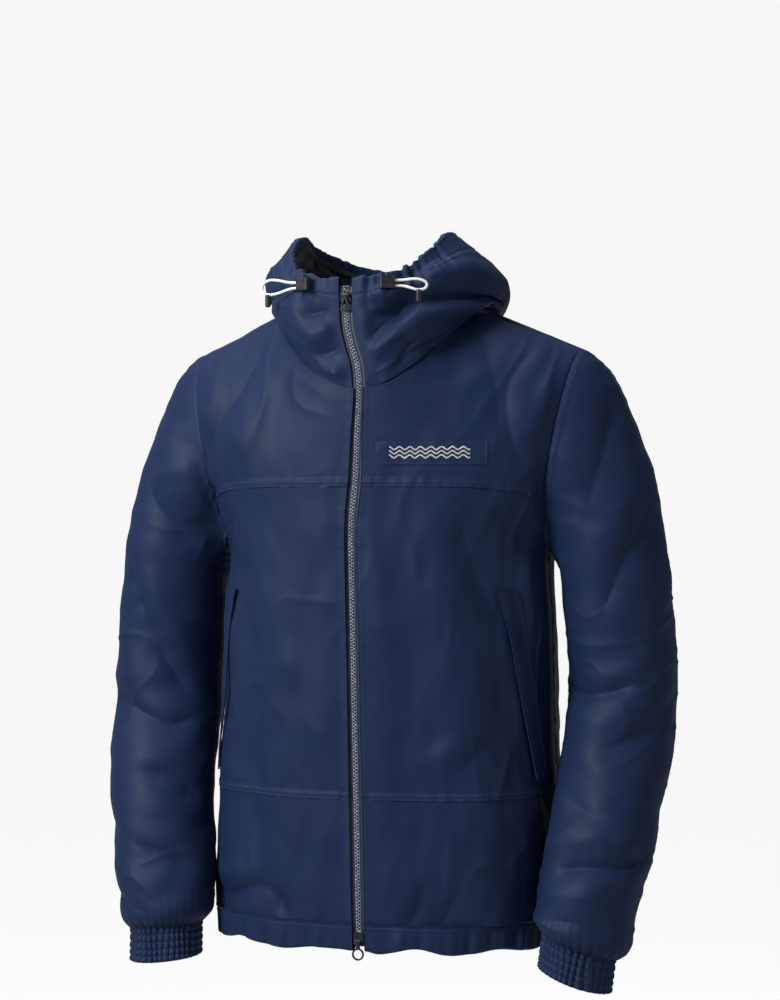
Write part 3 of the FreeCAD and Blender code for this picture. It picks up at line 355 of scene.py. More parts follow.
    def pocket_point(self, side: int, offset, t) -> np.ndarray:
        """Outer face of the front beside a pocket."""
        z = mix(self.pocket_top_z, self.pocket_bottom_z, np.asarray(t, float))
        angle = mix(self.pocket_top_angle, self.pocket_bottom_angle, t) + offset / self.degree
        return self.torso(side, True, angle / 90.0, z)


SHAPE = WornShape()


# ==== Folds and unevenness ===================================================================
class Crease(Enum):
    """How a fold's section falls away from its crest."""

    SOFT = 2.0
    CRISP = 1.15


@dataclass(frozen=True)
class Fold:
    """A ridge, or a valley where its height is negative, drawn on a chart of the cloth.

    near and far are its half widths on the left and right of its direction.
    """

    path: tuple[tuple[float, float], ...]
    height: float
    near: float
    far: float
    crease: Crease = Crease.SOFT
    taper: float = 45.0

    def relief(self, a: np.ndarray, b: np.ndarray) -> np.ndarray:
        """Height of the fold at chart places (a, b)."""
        knots = np.array(self.path, float)
        steps = np.concatenate([[0.0], np.cumsum(np.linalg.norm(np.diff(knots, axis=0), axis=1))])
        at = np.linspace(0.0, steps[-1], 3 * len(knots))
        line = np.stack([smooth(list(zip(steps, knots[:, k])), at) for k in (0, 1)], -1)
        reach = 2.6 * max(self.near, self.far)
        inside = ((a > line[:, 0].min() - reach) & (a < line[:, 0].max() + reach)
                  & (b > line[:, 1].min() - reach) & (b < line[:, 1].max() + reach))
        result = np.zeros(a.shape)
        if not inside.any():
            return result
        pa, pb = a[inside], b[inside]
        best = np.full(pa.shape, 1e9)
        left = np.zeros(pa.shape, bool)
        place = np.zeros(pa.shape)
        run = 0.0
        for p, q in zip(line[:-1], line[1:]):
            d = q - p
            span = float(np.hypot(*d))
            t = np.clip(((pa - p[0]) * d[0] + (pb - p[1]) * d[1]) / span ** 2, 0.0, 1.0)
            away = np.hypot(pa - p[0] - t * d[0], pb - p[1] - t * d[1])
            closer = away < best
            best = np.where(closer, away, best)
            left = np.where(closer, d[0] * (pb - p[1]) - d[1] * (pa - p[0]) > 0, left)
            place = np.where(closer, run + t * span, place)
            run += span
        width = np.where(left, self.near, self.far)
        taper = min(self.taper, run / 2)
        ends = ease(np.minimum(place, run - place) / taper)
        result[inside] = self.height * np.exp(-(best / width) ** self.crease.value) * ends
        return result


class Ripples:
    """Seeded sum of waves for the small unevenness of worn cloth."""

    def __init__(self, seed: int, wavelength: float, stretch: tuple[float, float] = (1.0, 1.0),
                 count: int = 26):
        """Args: seed, mean wavelength in millimetres, stretch along a and b, and number of waves."""
        rng = np.random.default_rng(seed)
        angle = rng.uniform(0.0, 2 * np.pi, count)
        length = wavelength * rng.uniform(0.65, 1.7, count)
        self.ka = 2 * np.pi * np.cos(angle) / length / stretch[0]
        self.kb = 2 * np.pi * np.sin(angle) / length / stretch[1]
        self.phase = rng.uniform(0.0, 2 * np.pi, count)
        self.gain = math.sqrt(2.0 / count)

    def __call__(self, a: np.ndarray, b: np.ndarray) -> np.ndarray:
        """Waves at chart places, mostly between -2 and 2."""
        total = np.zeros(np.shape(a))
        for ka, kb, phase in zip(self.ka, self.kb, self.phase):
            total += np.sin(ka * a + kb * b + phase)
        return total * self.gain

    def creases(self, a: np.ndarray, b: np.ndarray, sharp: float = 3.0) -> np.ndarray:
        """Thin raised lines from 0 to 1 where the waves cross zero."""
        return np.clip(1.0 - np.abs(self(a, b)), 0.0, 1.0) ** sharp


@dataclass(frozen=True)
class FoldField:
    """All the folds and unevenness of one chart of cloth."""

    folds: tuple[Fold, ...]
    seed: int
    soft: float = 1.3
    fine: float = 0.3
    stretch: tuple[float, float] = (1.0, 1.8)

    def __call__(self, a: np.ndarray, b: np.ndarray) -> np.ndarray:
        """Outward displacement in millimetres at chart places."""
        total = sum((fold.relief(a, b) for fold in self.folds), np.zeros(np.shape(a)))
        total = total + self.soft * Ripples(self.seed, 95.0, self.stretch)(a, b)
        total = total + self.fine * Ripples(self.seed + 1, 26.0, self.stretch)(a, b)
        crumple = Ripples(self.seed + 2, 70.0, self.stretch).creases(a, b)
        patches = ease(0.5 + 0.5 * Ripples(self.seed + 3, 160.0)(a, b))
        return total + 1.1 * self.soft * crumple * patches


S, C = Crease.SOFT, Crease.CRISP
CHART = 240.0  # width of half a fold chart, from the zip to the side seam
FRONT_FOLDS = FoldField((
    Fold(((67, -20), (84, -76), (101, -124), (108, -160)), -4.0, 10, 22, C),
    Fold(((120, -44), (100, -80), (116, -144), (150, -186)), -5.0, 10, 20, C),
    Fold(((150, -60), (140, -110), (152, -160)), 4.5, 18, 18),
    Fold(((-72, -24), (-96, -92), (-140, -140), (-185, -176)), -6.0, 12, 22, C),
    Fold(((-56, -30), (-65, -84), (-86, -140), (-113, -184)), 4.5, 11, 22),
    Fold(((-112, -60), (-140, -110), (-178, -150)), 5.0, 14, 18),
    Fold(((34, -488), (70, -470), (108, -444)), 3.0, 10, 20),
    Fold(((60, -505), (100, -474), (138, -448)), -2.8, 10, 18, C),
    Fold(((86, -212), (106, -272), (125, -312), (150, -350)), -4.5, 12, 26, C),
    Fold(((60, -215), (76, -285), (82, -360)), 3.2, 16, 28),
    Fold(((-199, -620), (-140, -628), (-80, -614), (-50, -652)), -5.0, 7, 16, C, 30),
    Fold(((-190, -600), (-130, -606), (-75, -594)), 4.0, 14, 12),
    Fold(((-30, -205), (-46, -300), (-58, -420)), 3.0, 22, 30),
    Fold(((-132, -250), (-104, -400), (-94, -590)), -4.0, 18, 30),
    Fold(((-160, -270), (-140, -400), (-140, -540)), 3.5, 22, 22),
    Fold(((-205, -260), (-190, -360), (-196, -480)), -5.0, 10, 18, C),
    Fold(((40, -330), (46, -450), (40, -600)), -2.6, 24, 34),
    Fold(((98, -360), (110, -450), (120, -590)), 3.0, 26, 26),
    Fold(((196, -250), (178, -300), (196, -390)), 5.0, 12, 16),
    Fold(((215, -330), (205, -440), (214, -560)), -5.5, 10, 18, C),
    Fold(((18, -250), (24, -400), (20, -560)), 1.8, 9, 20),
    Fold(((-18, -280), (-24, -430), (-20, -600)), 1.8, 20, 9),
    Fold(((30, -655), (45, -625), (52, -590)), -3.5, 6, 10, C, 25),
    Fold(((62, -655), (72, -628), (86, -600)), -3.0, 6, 10, C, 25),
    Fold(((-62, -655), (-66, -630), (-58, -604)), -3.0, 6, 9, C, 25),
    Fold(((26, -100), (60, -92), (96, -60)), 3.0, 10, 16),
    Fold(((-20, -100), (-42, -78), (-60, -40)), 2.6, 12, 10),
    Fold(((150, -204), (190, -232), (226, -250)), 4.0, 10, 14),
    Fold(((120, -216), (170, -250), (215, -275)), -4.0, 9, 14, C),
    Fold(((-150, -204), (-190, -230), (-226, -248)), 4.0, 14, 10),
    Fold(((-130, -218), (-175, -256), (-220, -300)), -4.5, 14, 9, C),
), 11)
BACK_FOLDS = FoldField((
    Fold(((-60, -60), (-90, -120), (-150, -170)), 4.0, 18, 20),
    Fold(((60, -60), (95, -120), (150, -172)), 4.0, 20, 18),
    Fold(((-20, -205), (-40, -330), (-30, -480)), 5.0, 22, 34),
    Fold(((44, -205), (60, -340), (52, -500)), -4.5, 20, 30, C),
    Fold(((110, -210), (96, -350), (104, -560)), 5.0, 26, 26),
    Fold(((-112, -210), (-98, -360), (-110, -560)), -4.5, 20, 32, C),
    Fold(((-200, -260), (-150, -310), (-90, -330)), -4.0, 9, 20, C),
    Fold(((205, -262), (150, -300), (84, -330)), -4.0, 20, 9, C),
    Fold(((-190, -430), (-120, -450), (-60, -430)), 3.5, 12, 22),
    Fold(((190, -470), (120, -480), (60, -450)), 3.5, 22, 12),
    Fold(((-120, -600), (-60, -618), (0, -606), (70, -620)), -4.5, 9, 16, C),
    Fold(((-100, -580), (0, -592), (110, -584)), 4.0, 14, 14),
), 47, soft=1.6)
RIGHT_SLEEVE_FOLDS = FoldField((
    Fold(((30, -105), (60, -150), (100, -190), (140, -236)), 2.3, 12, 16),
    Fold(((20, -150), (62, -205), (104, -244), (140, -270)), -6.3, 14, 12, C),
    Fold(((-10, -150), (30, -230), (60, -300)), 1.7, 22, 18),
    Fold(((36, -262), (70, -320), (96, -366), (146, -436)), -7.2, 11, 22, C),
    Fold(((64, -268), (100, -330), (140, -390)), 2.3, 12, 16),
    Fold(((10, -300), (52, -372), (90, -412)), 2.0, 16, 14),
    Fold(((30, -424), (66, -432), (112, -450), (150, -446)), -6.8, 8, 14, C, 30),
    Fold(((-20, -396), (40, -404), (96, -420)), 2.0, 12, 10),
    Fold(((20, -462), (70, -470), (120, -486)), 1.7, 14, 14),
    Fold(((80, -496), (120, -506), (164, -534)), -5.4, 8, 15, C, 30),
    Fold(((66, -520), (110, -534), (150, -560)), 1.8, 11, 12),
    Fold(((-10, -540), (30, -560), (70, -566)), -4.0, 9, 14, C),
    Fold(((70, -574), (114, -584), (152, -608)), -6.3, 7, 14, C, 30),
    Fold(((10, -596), (60, -606), (120, -622)), 2.0, 11, 11),
    Fold(((0, -628), (50, -634), (104, -650)), -4.5, 7, 10, C, 30),
    Fold(((150, -270), (185, -300), (230, -330)), -5.4, 10, 14, C),
    Fold(((200, -380), (250, -410), (300, -430)), -5.4, 10, 14, C),
    Fold(((210, -440), (260, -420), (320, -400)), 2.0, 14, 14),
    Fold(((200, -560), (250, -575), (310, -560)), -5.0, 9, 14, C),
    Fold(((230, -170), (260, -260), (250, -340)), 2.0, 20, 20),
), 83, soft=1.1, stretch=(1.5, 1.1))
LEFT_SLEEVE_FOLDS = FoldField((
    Fold(((30, -70), (56, -100), (80, -136), (108, -182)), 2.0, 12, 14),
    Fold(((8, -90), (40, -130), (70, -180), (96, -226)), -5.4, 10, 16, C),
    Fold(((60, -90), (88, -140), (118, -190)), -4.0, 9, 12, C),
    Fold(((10, -200), (40, -238), (70, -276), (102, -340)), -7.2, 12, 22, C),
    Fold(((40, -190), (76, -244), (112, -300)), 2.3, 14, 16),
    Fold(((-14, -240), (20, -310), (60, -370)), 1.8, 16, 20),
    Fold(((176, -402), (130, -412), (92, -408), (60, -396)), -7.7, 8, 13, C, 30),
    Fold(((140, -392), (98, -394), (60, -378), (24, -352)), 2.5, 12, 12),
    Fold(((150, -432), (100, -436), (50, -420), (10, -400)), 2.0, 12, 14),
    Fold(((20, -440), (60, -452), (110, -470)), -4.5, 10, 12, C),
    Fold(((140, -474), (100, -486), (60, -506), (20, -530)), 2.2, 12, 14),
    Fold(((150, -510), (110, -524), (66, -540)), -4.5, 9, 13, C),
    Fold(((170, -566), (120, -556), (76, -550), (26, -562)), 3.0, 10, 14, S, 30),
    Fold(((130, -584), (90, -580), (50, -582), (6, -572)), -9.0, 7, 12, C, 30),
    Fold(((150, -612), (100, -606), (40, -614)), 2.0, 11, 11),
    Fold(((140, -640), (90, -636), (30, -644)), -4.5, 7, 10, C, 30),
    Fold(((150, -270), (185, -300), (230, -330)), -5.4, 10, 14, C),
    Fold(((200, -380), (250, -400), (310, -390)), -5.9, 10, 14, C),
    Fold(((210, -450), (260, -440), (320, -420)), 2.0, 14, 14),
    Fold(((-60, -200), (-40, -290), (-56, -360)), 1.7, 18, 20),
    Fold(((-50, -480), (-20, -520), (10, -560)), -4.5, 10, 16, C),
), 131, soft=1.1, stretch=(1.5, 1.1))
HOOD_FOLDS = FoldField((
    Fold(((30, 76), (62, 62), (96, 50), (150, 36), (200, 28)), -15.0, 7, 13, C),
    Fold(((60, 84), (110, 72), (170, 60), (220, 52)), 9.0, 14, 13),
    Fold(((18, 84), (46, 80), (80, 73)), 7.0, 9, 8, S, 20),
    Fold(((14, 66), (40, 61), (72, 50)), -10.0, 8, 12, C, 20),
    Fold(((36, 62), (70, 46), (120, 26), (180, 14)), 7.0, 12, 10),
    Fold(((14, 40), (40, 50), (70, 58)), -6.0, 6, 10, C, 20),
    Fold(((10, 54), (34, 66), (60, 76)), 5.0, 9, 8, S, 20),
    Fold(((38, 4), (54, 14), (74, 22)), -6.0, 6, 9, C, 20),
    Fold(((12, 26), (40, 34), (66, 40)), 4.5, 8, 8, S, 20),
    Fold(((-50, 16), (-24, 30), (2, 46)), -6.5, 9, 6, C, 20),
    Fold(((-56, 30), (-30, 46), (-6, 60)), 5.0, 8, 9, S, 20),
    Fold(((-60, 50), (-36, 64), (-12, 76)), -5.0, 8, 6, C, 20),
    Fold(((-44, 2), (-22, 10), (-4, 24)), 4.5, 8, 8, S, 20),
    Fold(((-210, 28), (-150, 36), (-100, 54), (-66, 72)), -9.0, 13, 9, C),
    Fold(((-220, 50), (-160, 60), (-110, 76)), 7.0, 13, 14),
    Fold(((200, 24), (260, 14), (330, 20)), 7.0, 16, 16),
    Fold(((-330, 30), (-260, 20), (-200, 26)), 7.0, 16, 16),
    Fold(((230, 60), (290, 70), (345, 62)), -7.0, 9, 14, C),
    Fold(((-345, 58), (-300, 66), (-240, 60)), -7.0, 14, 9, C),
), 173, soft=1.6, stretch=(1.8, 0.8))


# ==== Cloth grids ============================================================================
class Edge(Enum):
    """Borders of a cloth grid: first and last along its rows, first and last along its columns."""

    U0 = (0, 0)
    U1 = (0, -1)
    V0 = (1, 0)
    V1 = (1, -1)


class Patch:
    """A grid of cloth points that is shaped, sewn and turned into meshes."""

    def __init__(self, points: np.ndarray, inner: Sequence[float] | np.ndarray):
        """Args: points, rows by columns by 3, and a point that its middle has on its inner side."""
        self.points = np.array(points, float)
        self.seam = np.zeros(self.points.shape[:2])
        i, j = self.points.shape[0] // 2, self.points.shape[1] // 2
        self.sign = 1.0
        towards = np.asarray(inner, float) - self.points[i, j]
        self.sign = -1.0 if float(self.normals()[i, j] @ towards) > 0 else 1.0

    def normals(self) -> np.ndarray:
        """Outward unit normals."""
        normal = np.cross(np.gradient(self.points, axis=0), np.gradient(self.points, axis=1))
        return self.sign * normal / np.maximum(np.linalg.norm(normal, axis=-1, keepdims=True), 1e-12)

    def push(self, height: np.ndarray) -> "Patch":
        """Moves every point outward by height millimetres."""
        self.points = self.points + self.normals() * height[..., None]
        return self

    def from_edge(self, edge: Edge) -> np.ndarray:
        """Millimetres along the cloth from an edge, at every point."""
        axis, end = edge.value
        step = np.linalg.norm(np.diff(self.points, axis=axis), axis=-1)
        zero = np.zeros_like(np.take(step, [0], axis))
        run = np.concatenate([zero, np.cumsum(step, axis=axis)], axis=axis)
        return run if end == 0 else np.take(run, [-1], axis) - run

    def lap(self, edge: Edge, height: float = 0.9, width: float = 8.0, rows: Sequence[float] = (1.6, 6.2),
            pucker: float = 0.35, seed: int = 5) -> "Patch":
        """Raises a felled seam along an edge, pulls its thread lines down and puckers them."""
        away = self.from_edge(edge)
        along = self.from_edge(Edge.V0 if edge in (Edge.U0, Edge.U1) else Edge.U0)
        band = height * ease((width + 1.2 - away) / 2.4)
        for row in rows:
            band = band - 0.45 * np.exp(-((away - row) / 0.9) ** 2)
        waves = Ripples(seed, 11.0, (1.0, 4.0))(along, away)
        band = band + pucker * waves * np.exp(-(away / (1.8 * width)) ** 2)
        self.seam = np.maximum(self.seam, np.exp(-np.abs(away - width / 2) / (0.6 * width)))
        return self.push(band)

    def tuck(self, edge: Edge, depth: float = 1.0, width: float = 4.0) -> "Patch":
        """Sinks an edge under its neighbour."""
        away = self.from_edge(edge)
        self.seam = np.maximum(self.seam, 0.7 * np.exp(-away / 5.0))
        return self.push(-depth * ease((width - away) / 2.0))

    def line(self, edge: Edge, distance: float) -> tuple[np.ndarray, np.ndarray]:
        """Points and normals of the line that runs a set distance inside an edge."""
        away = self.from_edge(edge)
        points, normal = self.points, self.normals()
        if edge in (Edge.U0, Edge.U1):
            away, points, normal = away.T, points.transpose(1, 0, 2), normal.transpose(1, 0, 2)
        found, facing = [], []
        for run, row, up in zip(away, points, normal):
            order = np.argsort(run)
            found.append([np.interp(distance, run[order], row[order, k]) for k in range(3)])
            facing.append([np.interp(distance, run[order], up[order, k]) for k in range(3)])
        return np.array(found), np.array(facing)

    def part(self, rows: slice, columns: slice) -> "Patch":
        """A piece of this patch that keeps its shape."""
        piece = Patch.__new__(Patch)
        piece.points = self.points[rows, columns]
        piece.seam = self.seam[rows, columns]
        piece.sign = self.sign
        return piece

    def mesh(self, name: str, thickness: float = 0.9, normals: np.ndarray | None = None) -> bpy.types.Object:
        """Closed mesh of the patch.

        Args:
            name: The object's name.
            thickness: Depth of the cloth in millimetres.
            normals: Outward normals to shade with, where the patch is part of a larger one.

        Returns:
            The new object, in metres, with a cloth_uv attribute in metres and a seam mask.
        """
        outward = self.normals() if normals is None else normals
        rows, columns = self.points.shape[:2]
        outer = self.points.reshape(-1, 3)
        base = (self.points - outward * thickness).reshape(-1, 3)
        index = np.arange(rows * columns).reshape(rows, columns)
        quads = np.stack([index[:-1, :-1], index[1:, :-1], index[1:, 1:], index[:-1, 1:]], -1).reshape(-1, 4)
        if self.sign < 0:
            quads = quads[:, ::-1]
        loop = np.concatenate([index[:-1, 0], index[-1, :-1], index[:0:-1, -1], index[0, :0:-1]])
        after = np.roll(loop, -1)
        count = rows * columns
        rim = np.stack([loop, loop + count, after + count, after], -1)
        if self.sign > 0:
            rim = rim[:, ::-1]
        faces = np.concatenate([quads, quads[:, ::-1] + count, rim])
        u = self.from_edge(Edge.U0).mean(axis=1)
        v = self.from_edge(Edge.V0).mean(axis=0)
        uv = stacked(u[:, None], v[None, :], 0.0).reshape(-1, 3) * MM
        obj = new_mesh(name, np.concatenate([outer, base]), faces)
        data = obj.data
        data.attributes.new("cloth_uv", "FLOAT_VECTOR", "POINT").data.foreach_set(
            "vector", np.concatenate([uv, uv]).astype(np.float32).ravel())
        mask = np.concatenate([self.seam.ravel(), self.seam.ravel()]).astype(np.float32)
        data.attributes.new("seam", "FLOAT", "POINT").data.foreach_set("value", mask)
        smooth_faces = np.ones(len(faces), bool)
        smooth_faces[-len(rim):] = False
        data.polygons.foreach_set("use_smooth", smooth_faces)
        if normals is not None:
            facing = np.concatenate([outward.reshape(-1, 3), -outward.reshape(-1, 3)])
            data.normals_split_custom_set_from_vertices(facing)
        return obj


def new_mesh(name: str, points: np.ndarray, faces: np.ndarray) -> bpy.types.Object:
    """Mesh object from points in millimetres and faces of one size."""
    data = bpy.data.meshes.new(name)
    sides = faces.shape[1]
    data.vertices.add(len(points))
    data.vertices.foreach_set("co", (points * MM).astype(np.float32).ravel())
    data.loops.add(faces.size)
    data.loops.foreach_set("vertex_index", faces.astype(np.int32).ravel())
    data.polygons.add(len(faces))
    data.polygons.foreach_set("loop_start", np.arange(0, faces.size, sides, dtype=np.int32))
    data.update(calc_edges=True)
    data.validate()
    obj = bpy.data.objects.new(name, data)
    bpy.context.scene.collection.objects.link(obj)
    return obj


# ==== Thread =================================================================================
@dataclass(frozen=True)
class Stitch:
    """Size of one stitch in millimetres."""

    length: float = 2.7
    gap: float = 0.9
    radius: float = 0.3
    lift: float = 0.22


class Thread:
    """Collects rows of stitches and builds them as one mesh."""

    def __init__(self, stitch: Stitch = Stitch()):
        """Args: the stitch to repeat."""
        self.stitch = stitch
        self.points: list[np.ndarray] = []

    def template(self) -> np.ndarray:
        """Rings of one arched stitch: along, up and across, in millimetres."""
        rings = []
        for t in (-1.0, -0.55, 0.0, 0.55, 1.0):
            radius = self.stitch.radius * (0.45 if abs(t) == 1.0 else 1.0)
            lift = self.stitch.lift * (1.0 - 2.2 * t * t)
            for k in range(6):
                angle = k * math.pi / 3
                rings.append((t * self.stitch.length / 2, lift + radius * math.sin(angle),
                              radius * math.cos(angle)))
        return np.array(rings)

    def row(self, points: np.ndarray, normals: np.ndarray) -> None:
        """Sews along a line that lies on the cloth."""
        run = np.concatenate([[0.0], np.cumsum(np.linalg.norm(np.diff(points, axis=0), axis=1))])
        pitch = self.stitch.length + self.stitch.gap
        middles = np.arange(pitch / 2, run[-1] - pitch / 2, pitch)
        if not len(middles):
            return

        def at(values: np.ndarray, where: np.ndarray) -> np.ndarray:
            """Values read along the line."""
            return np.stack([np.interp(where, run, values[:, k]) for k in range(3)], -1)
        centre = at(points, middles)
        along = at(points, middles + 0.6) - at(points, middles - 0.6)
        along /= np.linalg.norm(along, axis=1, keepdims=True)
        up = at(normals, middles)
        across = np.cross(along, up)
        across /= np.linalg.norm(across, axis=1, keepdims=True)
        up = np.cross(across, along)
        shape = self.template()
        stitches = centre[:, None]
        for axis, way in enumerate((along, up, across)):
            stitches = stitches + shape[None, :, axis:axis + 1] * way[:, None]
        self.points.append(stitches.reshape(-1, 3))

    def edge(self, patch: Patch, edge: Edge, distances: Sequence[float]) -> None:
        """Sews rows inside an edge of a patch."""
        for distance in distances:
            self.row(*patch.line(edge, distance))

    def build(self, name: str, finish: "Finish") -> bpy.types.Object | None:
        """One mesh of every row so far."""
        if not self.points:
            return None
        points = np.concatenate(self.points)
        one = []
        for ring in range(4):
            for k in range(6):
                after = (k + 1) % 6
                one.append((ring * 6 + k, ring * 6 + after, ring * 6 + 6 + after, ring * 6 + 6 + k))
        count = len(points) // 30
        faces = (np.array(one)[None] + 30 * np.arange(count)[:, None, None]).reshape(-1, 4)
        obj = new_mesh(name, points, faces)
        obj.data.polygons.foreach_set("use_smooth", np.ones(len(faces), bool))
        finish.dress(obj)
        self.points = []
        return obj


# ==== Finishes ===============================================================================
class Net:
    """Short way to add and join shader nodes in one tree."""

    def __init__(self, tree: bpy.types.NodeTree):
        """Args: the tree to build in."""
        self.tree = tree

    def add(self, kind: str, **settings) -> bpy.types.Node:
        """New node with its properties set."""
        node = self.tree.nodes.new(kind)
        for key, value in settings.items():
            setattr(node, key, value)
        return node

    def join(self, source, target) -> None:
        """Links two sockets."""
        self.tree.links.new(source, target)

    def math(self, operation: str, first, second=0.0):
        """Output of a math node on two values or sockets."""
        node = self.add("ShaderNodeMath", operation=operation)
        for socket, value in zip(node.inputs, (first, second)):
            if isinstance(value, bpy.types.NodeSocket):
                self.join(value, socket)
            else:
                socket.default_value = value
        return node.outputs[0]

    def blend(self, share, low, high):
        """Colour mixed between two colours or sockets."""
        node = self.add("ShaderNodeMix", data_type="RGBA")
        for socket, value in ((node.inputs["Factor"], share), (node.inputs[6], low), (node.inputs[7], high)):
            if isinstance(value, bpy.types.NodeSocket):
                self.join(value, socket)
            else:
                socket.default_value = value if isinstance(value, float) else (*value, 1.0)
        return node.outputs[2]

    def noise(self, vector, scale: float, detail: float = 3.0):
        """Noise value at a vector."""
        node = self.add("ShaderNodeTexNoise")
        node.inputs["Scale"].default_value = scale
        node.inputs["Detail"].default_value = detail
        self.join(vector, node.inputs["Vector"])
        return node.outputs["Fac"]


def group(name: str, inputs: dict[str, tuple[str, object]],
          outputs: dict[str, str]) -> tuple[Net, dict, dict]:
    """New shader node group with named sockets.

    Args:
        name: The group's name.
        inputs: Socket type and default of each input.
        outputs: Socket type of each output.

    Returns:
        The group's net, its input sockets by name and its output sockets by name.
    """
    tree = bpy.data.node_groups.new(name, "ShaderNodeTree")
    for key, (kind, value) in inputs.items():
        socket = tree.interface.new_socket(key, in_out="INPUT", socket_type=kind)
        if value is not None:
            socket.default_value = value
    for key, kind in outputs.items():
        tree.interface.new_socket(key, in_out="OUTPUT", socket_type=kind)
    net = Net(tree)
    entry = net.add("NodeGroupInput")
    leave = net.add("NodeGroupOutput")
    return net, {s.name: s for s in entry.outputs}, {s.name: s for s in leave.inputs}


VECTOR, FLOAT = "NodeSocketVector", "NodeSocketFloat"


class Effects:
    """Shader groups that several finishes share."""

    def __init__(self):
        """Builds every group once."""
        self.weave = self._weave()
        self.mottle = self._mottle()
        self.braid = self._braid()
        self.grain = self._grain()

    @staticmethod
    def _weave() -> bpy.types.NodeTree:
        """Plain weave: over-and-under threads as a height from 0 to 1, with slubs."""
        net, given, out = group("PlainWeave", {"Place": (VECTOR, None), "Thread": (FLOAT, 0.0005)},
                                {"Height": FLOAT})
        split = net.add("ShaderNodeSeparateXYZ")
        net.join(given["Place"], split.inputs[0])
        waves = []
        for axis in ("X", "Y"):
            phase = net.math("DIVIDE", split.outputs[axis], given["Thread"])
            waves.append(net.math("SINE", net.math("MULTIPLY", phase, math.pi)))
        cross = net.math("MULTIPLY", waves[0], waves[1])
        slub = net.noise(given["Place"], 900.0, 1.0)
        level = net.math("ADD", net.math("MULTIPLY", cross, 0.4), net.math("MULTIPLY", slub, 0.35))
        net.join(net.math("ADD", level, 0.3), out["Height"])
        return net.tree

    @staticmethod
    def _mottle() -> bpy.types.NodeTree:
        """Uneven dye and wear: a mask from 0 to 1 and a fine handling crumple."""
        net, given, out = group("UnevenDye", {"Place": (VECTOR, None), "Seam": (FLOAT, 0.0)},
                                {"Mask": FLOAT, "Crumple": FLOAT})
        broad = net.noise(given["Place"], 14.0, 3.0)
        close = net.noise(given["Place"], 160.0, 2.0)
        mask = net.math("ADD", net.math("MULTIPLY", broad, 0.55), net.math("MULTIPLY", close, 0.25))
        mask = net.math("ADD", mask, net.math("MULTIPLY", given["Seam"], 0.25))
        net.join(mask, out["Mask"])
        crease = net.add("ShaderNodeTexVoronoi", feature="SMOOTH_F1")
        crease.inputs["Scale"].default_value = 38.0
        net.join(given["Place"], crease.inputs["Vector"])
        soft = net.noise(given["Place"], 60.0, 2.0)
        level = net.math("ADD", net.math("MULTIPLY", crease.outputs["Distance"], 0.4), soft)
        net.join(level, out["Crumple"])
        return net.tree

    @staticmethod
    def _braid() -> bpy.types.NodeTree:
        """Braided cord: crossing strands from the place along and round the cord."""
        net, given, out = group("Braid", {"Place": (VECTOR, None), "Turns": (FLOAT, 60.0)}, {"Height": FLOAT})
        split = net.add("ShaderNodeSeparateXYZ")
        net.join(given["Place"], split.inputs[0])
        along = net.math("MULTIPLY", split.outputs["X"], given["Turns"])
        waves = []
        for way in (1.0, -1.0):
            lean = net.math("ADD", along, net.math("MULTIPLY", split.outputs["Y"], 4.0 * way))
            waves.append(net.math("ABSOLUTE", net.math("SINE", net.math("MULTIPLY", lean, math.pi))))
        net.join(net.math("MAXIMUM", waves[0], waves[1]), out["Height"])
        return net.tree

    @staticmethod
    def _grain() -> bpy.types.NodeTree:
        """Moulded or painted surface: fine grain and a mask of light scuffs."""
        net, given, out = group("FineGrain", {"Place": (VECTOR, None)}, {"Height": FLOAT, "Scuff": FLOAT})
        net.join(net.noise(given["Place"], 2600.0, 2.0), out["Height"])
        worn = net.noise(given["Place"], 240.0, 4.0)
        scuff = net.math("MULTIPLY", net.math("SUBTRACT", worn, 0.52), 4.0)
        net.join(net.math("SMOOTH_MIN", scuff, 1.0), out["Scuff"])
        return net.tree


class Surface(Enum):
    """Kinds of surface relief."""

    CLOTH = "cloth"
    TAPE = "tape"
    CORD = "cord"
    HARD = "hard"


